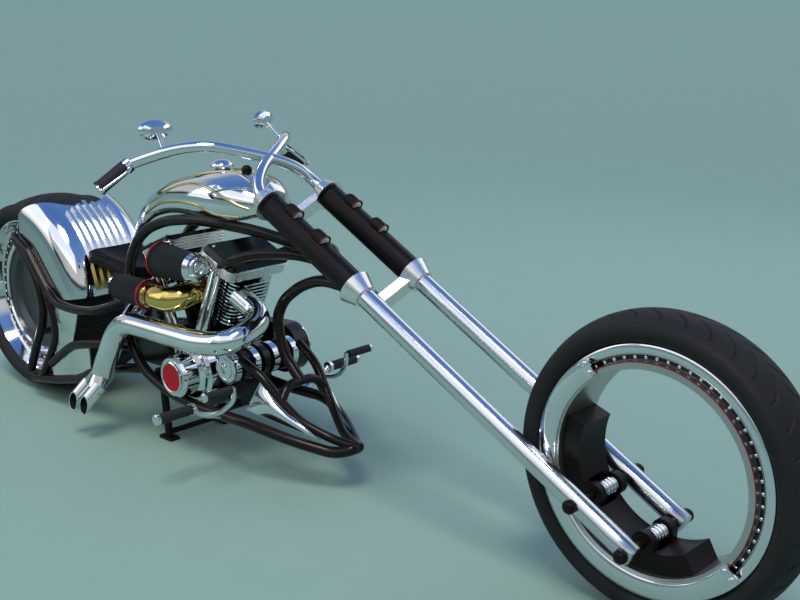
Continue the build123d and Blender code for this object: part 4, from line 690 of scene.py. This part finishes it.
bandShells, boltShells = [], []
for tilt in engine["tilts"]:
    axis = np.array([sin(radians(tilt)), 0, cos(radians(tilt))])
    for share in engine["bands"]:
        halves = [low + (high - low) * share for low, high in zip(engine["boxLow"], engine["boxHigh"])]
        path = boxPath(tilt, engine["boxLevel"] + share * engine["boxHeight"], *halves, engine["corner"])
        ups = np.repeat(axis[None], len(path), 0)
        bandShells.append(carried(path, circle(engine["wire"], sides=8), ups, closed=True))
    boltSpots = boxPath(tilt, engine["coverTop"], *engine["boltSpread"], corner=1.0, count=1)
    boltShells.append(scattered(turned(engine["bolt"], (0, 0, 0), axis, sides=6), boltSpots))
addPiece("rockerBands", bandShells, "satinChrome", "chassis")
addPiece("rockerBolts", boltShells, "chrome", "chassis")

# cam cover: screws on its step and a ring round the disc
cam = dict(place=(900.0, 0, 255.0), step=118.3, screwR=86.5, screws=8, firstTurn=0.2,
           screw=[(-3, 5.5), (3, 5.5), (5, 4), (5.5, 0)], ringFace=190.3,
           ring=[(0, 41.5), (0, 48.0), (5, 47.0), (7, 43.5), (5, 41.5), (0, 41.5)])
camTurn = around(cam["screws"]) + cam["firstTurn"]
camScrew = turned(cam["screw"], (0, 0, 0), rightWay, sides=14)
camSpots = onRing(at(*cam["place"]), cam["screwR"], camTurn, -cam["step"])
badgeRing = turned(np.array(cam["ring"]) + (cam["ringFace"], 0), at(*cam["place"]), rightWay, sides=56)
addPiece("camTrim", [scattered(camScrew, camSpots), badgeRing], "chrome", "chassis")

# oil drum: bright straps and end caps; a strap's rows are share of the half width, height
drum = dict(place=(1062.0, 300.0), bands=(-3, -1, 1, 3), spacing=36.0, half=10.0, radius=46.0, end=118.0,
            sides=48, strap=[(-1, -1.0), (-1, 0.8), (1, 0.8), (1, -1.0), (-1, -1.0)],
            cap=[(-1, 0), (-1, 44), (2, 44), (5, 41), (6, 33), (4.5, 31), (4.5, 14), (7, 11), (8, 0)])
drumX, drumZ = drum["place"]
strap = np.array(drum["strap"]) * (drum["half"], 1)
strapSpots = [(k * drum["spacing"], drum["radius"]) for k in drum["bands"]]
drumShells = [turned(strap + spot, at(drumX, 0, drumZ), (0, 1, 0), drum["sides"]) for spot in strapSpots]
drumEnd = turned(drum["cap"], at(drumX, -drum["end"], drumZ), rightWay, drum["sides"])
addPiece("oilDrumBands", drumShells + both(drumEnd), "chrome", "chassis")

# primary cover: bright bead round its face and two caps
primary = dict(front=(962.0, 277.0, 78.0), rear=(730.0, 268.0, 70.0), face=232.0, bead=5.0, sunk=3.0,
               inset=5.0, samples=30,
               cap=[(-1, 38), (2, 38), (4, 35), (4, 26), (2.5, 24), (2.5, 10), (4, 7), (5, 0)])
(fx, fz, fr), (bx, bz, br) = primary["front"], primary["rear"]
lean = atan2(fz - bz, fx - bx)
spread = acos((fr - br) / np.hypot(fx - bx, fz - bz))
frontTurn = np.linspace(lean - spread, lean + spread, primary["samples"])
rearTurn = np.linspace(lean + spread, lean + 2 * pi - spread, primary["samples"])
beadLevel = primary["face"] - primary["sunk"]
beadPath = np.concatenate([onRing(at(fx, 0, fz), fr - primary["inset"], frontTurn, beadLevel),
                           onRing(at(bx, 0, bz), br - primary["inset"], rearTurn, beadLevel)])
beadUps = np.repeat([[0, 1.0, 0]], len(beadPath), 0)
bead = carried(beadPath, circle(primary["bead"], sides=10), beadUps, closed=True)
caps = [turned(primary["cap"], at(x, primary["face"], z), (0, 1, 0), sides=48)
        for x, z in ((fx, fz), (bx, bz))]
addPiece("primaryTrim", [bead, *caps], "chrome", "chassis")
print("stage: engine trim")


# air filters: pleated cones
filters = dict(
    cones=[dict(base=(835.0, -157.0, 590.0), length=150.0, radii=(50.0, 42.0), axis=(1, 0, 0)),
           dict(base=(780.0, -178.0, 482.0), length=140.0, radii=(43.0, 40.0), axis=(-1, 0, 0))],
    pleats=44, pleatSides=8, pleatDepth=1.3, rows=5,
)
pleatShells = []
for cone in filters["cones"]:
    axis, first, second = square(cone["axis"])
    # r(t, s) = straight cone less a pleat depth times (1 - cos(n t))
    t = around(filters["pleats"] * filters["pleatSides"])[:, None]
    s = np.linspace(0, 1, filters["rows"])
    pleat = filters["pleatDepth"] * (1 - np.cos(filters["pleats"] * t))
    radius = np.interp(s, (0, 1), cone["radii"]) - pleat
    radius = np.concatenate([np.zeros_like(t), radius, np.zeros_like(t)], 1)
    height = np.concatenate([[0.0], s, [1.0]]) * cone["length"]
    ring = np.cos(t)[..., None] * first + np.sin(t)[..., None] * second
    coneGrid = at(*cone["base"]) + (height[None, :, None] * axis + radius[..., None] * ring) / 1000
    pleatShells.append(shell(coneGrid, closeU=True))
addPiece("pleatedFilters", pleatShells, "filterGauze", "chassis", ["air_filters"], sharp=60)

# swirl on the upper cap: r(s) falls evenly from outer to inner over the turns
swirl = dict(place=(1002.6, -157.0, 590.0), turns=1.7, firstTurn=0.6, outer=30.0, inner=7.0,
             wire=6.0, samples=90)
share = np.linspace(0, 1, swirl["samples"])
swirlTurn = 2 * pi * swirl["turns"] * share + swirl["firstTurn"]
swirlR = swirl["outer"] + (swirl["inner"] - swirl["outer"]) * share
swirlSpots = np.stack([0 * share, swirlR * np.cos(swirlTurn), swirlR * np.sin(swirlTurn)], 1)
swirlPath = at(*swirl["place"]) + swirlSpots / 1000
addPiece("filterSwirl", [carried(swirlPath, circle(swirl["wire"]))], "chrome", "chassis")

# lower elbow, with a red collar at the engine and a bright ring at the filter
elbow = dict(keys=[(789, -178, 482), (835, -181, 482), (885, -178, 484), (915, -158, 491), (924, -126, 498),
                   (925, -92, 500)],
             radii=(30.0, 35.0, 36.0, 36.0, 34.0, 31.0), samples=48,
             collarAt=(925, -76, 500),
             collar=[(0, 33), (0, 36), (2, 38), (8, 38), (10, 36), (10, 33), (0, 33)],
             ringAt=(790, -178, 482), ring=[(0, 30), (0, 38), (2.2, 38), (3.2, 33), (2.2, 30), (0, 30)])
elbowCollar = turned(elbow["collar"], at(*elbow["collarAt"]), rightWay, sides=48)
addPiece("elbowCollar", [elbowCollar], "redPaint", "chassis")
elbowPath = smoothPath([at(*key) for key in elbow["keys"]], elbow["samples"])
keyShares = np.linspace(0, 1, len(elbow["radii"]))
elbowSwell = np.interp(np.linspace(0, 1, elbow["samples"]), keyShares, elbow["radii"])
elbowTube = carried(elbowPath, circle(1.0, sides=36), swell=elbowSwell)
addPiece("lowerElbow", [elbowTube], "gold", "chassis")
elbowRing = turned(elbow["ring"], at(*elbow["ringAt"]), (1, 0, 0), sides=56)
addPiece("elbowFaceRing", [elbowRing], "chrome", "chassis")
print("stage: filters")


# exhaust: dark liners in the two mouths, cut off level with them
exhaust = dict(mouths=((524, -300, 119), (584, -300, 119)), pipeEnd=(588, -228, 205),
               middle=(554, -300, 119), radius=18.7, depth=57.0, inset=0.8, sides=40)
tipWay, tipFirst, tipSecond = square(at(*exhaust["middle"]) - at(*exhaust["pipeEnd"]))
# wall from the bore's floor to where the ray along the tip meets the mouth's plane
t = around(exhaust["sides"])[:, None]
ring = (np.cos(t) * tipFirst + np.sin(t) * tipSecond) * exhaust["radius"]
edge = -ring[:, 1:2] / tipWay[1] - exhaust["inset"]
rows = np.concatenate([np.full_like(t, -exhaust["depth"]), edge], 1)
wall = (ring[:, None] + rows[..., None] * tipWay) / 1000
pole = np.broadcast_to(-exhaust["depth"] * tipWay / 1000, (exhaust["sides"], 1, 3))
liner = np.concatenate([pole, wall], 1)[:, ::-1]
linerShells = [shell(at(*mouth) + liner, closeU=True) for mouth in exhaust["mouths"]]
addPiece("tipLiners", linerShells, "soot", "chassis")

# bulged skins on the belly panels
belly = dict(corners=[(1168, -136, 205), (1386, -58, 150), (1196, -104, 288), (1262, -84, 225)], bulge=15.0,
             back=1.5, count=26)
lowRear, lowFront, highRear, highFront = (at(*corner) for corner in belly["corners"])
u = np.linspace(0, 1, belly["count"])[:, None, None]
v = np.linspace(0, 1, belly["count"])[None, :, None]
bellyOut = np.cross(lowFront - lowRear, highRear - lowRear)
bellyOut *= -np.sign(bellyOut[1]) / np.linalg.norm(bellyOut)
# p(u, v) = patch between four corners + (back + bulge sin(pi u) sin(pi v)) outwards
patch = (1 - v) * ((1 - u) * lowRear + u * lowFront) + v * ((1 - u) * highRear + u * highFront)
patch = patch + belly["back"] / 1000 * bellyOut
bulge = belly["bulge"] / 1000 * np.sin(pi * u) * np.sin(pi * v)
bellyShells = both(shell(patch + bulge * bellyOut), shell(patch[::-1]))
addPiece("bellySkins", bellyShells, "chrome", "chassis")


# grips, pegs and pedals: ringed rubber on the same axes as their solids
rubbers = dict(
    grip=dict(start=onBar(*bars["gripStart"]), toward=onBar(*bars["gripToward"]), length=92.0, radius=19.2,
              rings=11, ringH=0.9, lip=2.0),
    peg=dict(start=at(1085, -268, 220), toward=at(1085, -386, 220), length=104.0, radius=14.2,
             rings=13, ringH=0.8),
    pedal=dict(start=at(1212, -222, 296), toward=at(1212, -318, 296), length=86.0, radius=11.2,
               rings=11, ringH=0.8),
)
rubberFor = dict(grip=("grips", "front_end"), peg=("foot_pegs", "chassis"),
                 pedal=("pedal_rubbers", "chassis"))


def ringedRubber(start, toward, length, radius, rings, ringH, lip=0.0, lipFrom=0.93, lipRun=0.03,
                 ringRows=6):
    # r(s) = radius + ring height |sin(n pi s)|, with a lip at the far end, closed at both poles
    s = np.linspace(0, 1, rings * ringRows + 1)
    r = radius + ringH * np.abs(np.sin(rings * pi * s)) + lip * np.clip((s - lipFrom) / lipRun, 0, 1)
    profile = np.concatenate([[[0, 0]], np.stack([s * length, r], 1), [[length, 0]]])
    return turned(profile, start, toward - start, sides=36)


for name, (node, body) in rubberFor.items():
    rubber = ringedRubber(**rubbers[name])
    addPiece(f"{name}Rubbers", both(rubber), "gripRubber", body, [node], sharp=50)
pegEnds = [((1085, -372, 220), 15.4, 13.6), ((1212, -308, 296), 12.4, 9.6)]  # place, radius, depth
endShells = []
for spot, r, depth in pegEnds:
    endProfile = [(0, 0), (0, r - 1), (1, r), (depth - 3, r), (depth - 0.5, r - 3), (depth, 0)]
    endShells.append(turned(endProfile, at(*spot), rightWay, sides=32))
addPiece("pegEnds", both(*endShells), "chrome", "chassis")
print("stage: rubbers")


# seat: a thin leather saddle, hollow in the middle with rolled rims, laid on the ribs
seatPad = dict(rear=324.0, front=598.0, rearZ=503.0, frontZ=470.0, thick=42.0, thinnest=6.0, half=107.0,
               noseHalf=56.0, shoulder=0.80, nosePower=1.5, pull=0.05, corner=0.16, cornerRun=0.14,
               sidePower=7, endPower=22, hollow=0.66, hollowHalf=0.80, hollowPower=1.2,
               hollowEnds=(0.02, 0.98), ribR=377.8, axleZ=338.0, rows=60, cols=48, voxel=0.005, cap=0.005,
               pressure=4.0, frames=20)


def seatGrid(u, v):
    # plan: straight sides that pull in, rounded rear corners and a tapered nose;
    # crest(u, v) = low + thickness edge(u, v) (1 - hollow bowl(u, v)), low following the ribs
    pad = seatPad
    x = pad["rear"] + (pad["front"] - pad["rear"]) * u + 0 * v
    taper = np.clip((u - pad["shoulder"]) / (1 - pad["shoulder"]), 0, 1) ** pad["nosePower"]
    corner = pad["corner"] * np.clip(1 - u / pad["cornerRun"], 0, 1) ** 2
    narrowed = 1 - pad["pull"] * np.sin(pi * u) - corner
    half = (pad["half"] + (pad["noseHalf"] - pad["half"]) * taper) * narrowed
    plane = pad["rearZ"] + (pad["frontZ"] - pad["rearZ"]) * u + 0 * v
    ribs = pad["axleZ"] + np.sqrt(np.clip(pad["ribR"] ** 2 - x ** 2, 0, None))
    low = np.maximum(plane, np.where(x < pad["ribR"], ribs, 0))
    sides = np.clip(1 - np.abs(v) ** pad["sidePower"], 0, 1) ** 0.5
    ends = np.clip(1 - np.abs(2 * u - 1) ** pad["endPower"], 0, 1) ** 0.5
    bowlAcross = np.clip(1 - (v / pad["hollowHalf"]) ** 2, 0, 1) ** pad["hollowPower"]
    bowl = bowlAcross * np.sin(pi * np.clip(u, *pad["hollowEnds"])) ** 0.5
    depth = np.maximum(plane + pad["thick"] - low, pad["thinnest"])
    crest = low + depth * (sides * ends) * (1 - pad["hollow"] * bowl)
    return x, half * v, low, crest


def seatShell():
    u = np.linspace(0, 1, seatPad["rows"])[:, None]
    x, y, low, crest = seatGrid(u, np.linspace(-1, 1, seatPad["cols"])[None])
    top, bottom = (shell(np.stack([x - rearAxleX, y, level], -1) / 1000) for level in (crest, low))
    return [top, (bottom[0], bottom[1][:, ::-1])]


def pointsOf(mesh):
    points = np.zeros(len(mesh.vertices) * 3)
    mesh.vertices.foreach_get("co", points)
    return points.reshape(-1, 3)


seat = addPiece("seatPad", seatShell(), "leather", "chassis", ["seat"], sharp=80)
remesh = seat.modifiers.new("voxels", "REMESH")
remesh.mode = "VOXEL"
remesh.voxel_size = seatPad["voxel"]
bpy.context.view_layer.objects.active = seat
seat.select_set(True)
bpy.ops.object.modifier_apply(modifier="voxels")
restPoints = pointsOf(seat.data)
cloth = seat.modifiers.new("cloth", "CLOTH")
cloth.settings.use_pressure = True
cloth.settings.uniform_pressure_force = seatPad["pressure"]
cloth.settings.effector_weights.gravity = 0
cloth.point_cache.frame_start, cloth.point_cache.frame_end = 1, seatPad["frames"]
for step in range(1, seatPad["frames"] + 1):
    scene.frame_set(step)
evaluated = seat.evaluated_get(bpy.context.evaluated_depsgraph_get())
shift = pointsOf(evaluated.data) - restPoints
seat.modifiers.remove(cloth)
scene.frame_set(1)
size = np.linalg.norm(shift, axis=1, keepdims=True)
shift *= np.minimum(1, seatPad["cap"] / np.maximum(size, 1e-9))
shift[:, 2] = np.maximum(shift[:, 2], 0.0)
seat.data.vertices.foreach_set("co", (restPoints + shift).ravel())
seat.data.update()
for polygon in seat.data.polygons:
    polygon.use_smooth = True
seat.data.materials.clear()
seat.data.materials.append(finish["leather"])
subdivide = seat.modifiers.new("smooth", "SUBSURF")
subdivide.levels = subdivide.render_levels = 1
print("stage: seat", len(seat.data.vertices), "points")

# piping laid along the seat's rim
piping = dict(inset=0.90, ends=(0.045, 0.955), samples=44, wire=2.4, above=8.0, eased=6,
              weights=(0.25, 0.5, 0.25))
edgeU = np.linspace(*piping["ends"], piping["samples"])
edgeV = np.linspace(-piping["inset"], piping["inset"], piping["samples"] // 2)
rearU, noseU = (np.full(len(edgeV) - 2, end) for end in piping["ends"])
sideV = np.full(len(edgeU), piping["inset"])
loopU = np.concatenate([edgeU, noseU, edgeU[::-1], rearU])
loopV = np.concatenate([-sideV, edgeV[1:-1], sideV, edgeV[-2:0:-1]])
rimX, rimY, _, rimHigh = seatGrid(loopU, loopV)
overRim = np.stack([rimX - rearAxleX, rimY, rimHigh + piping["above"]], 1) / 1000
rimPath = np.array([seat.closest_point_on_mesh(Vector(p))[1] for p in overRim])
for _ in range(piping["eased"]):  # corners eased along the loop
    rimPath = np.stack([np.roll(rimPath, k, 0) for k in (1, 0, -1)], -1) @ np.array(piping["weights"])
pipingShell = carried(rimPath, circle(piping["wire"], sides=8), closed=True)
addPiece("seatPiping", [pipingShell], "leather", "chassis")
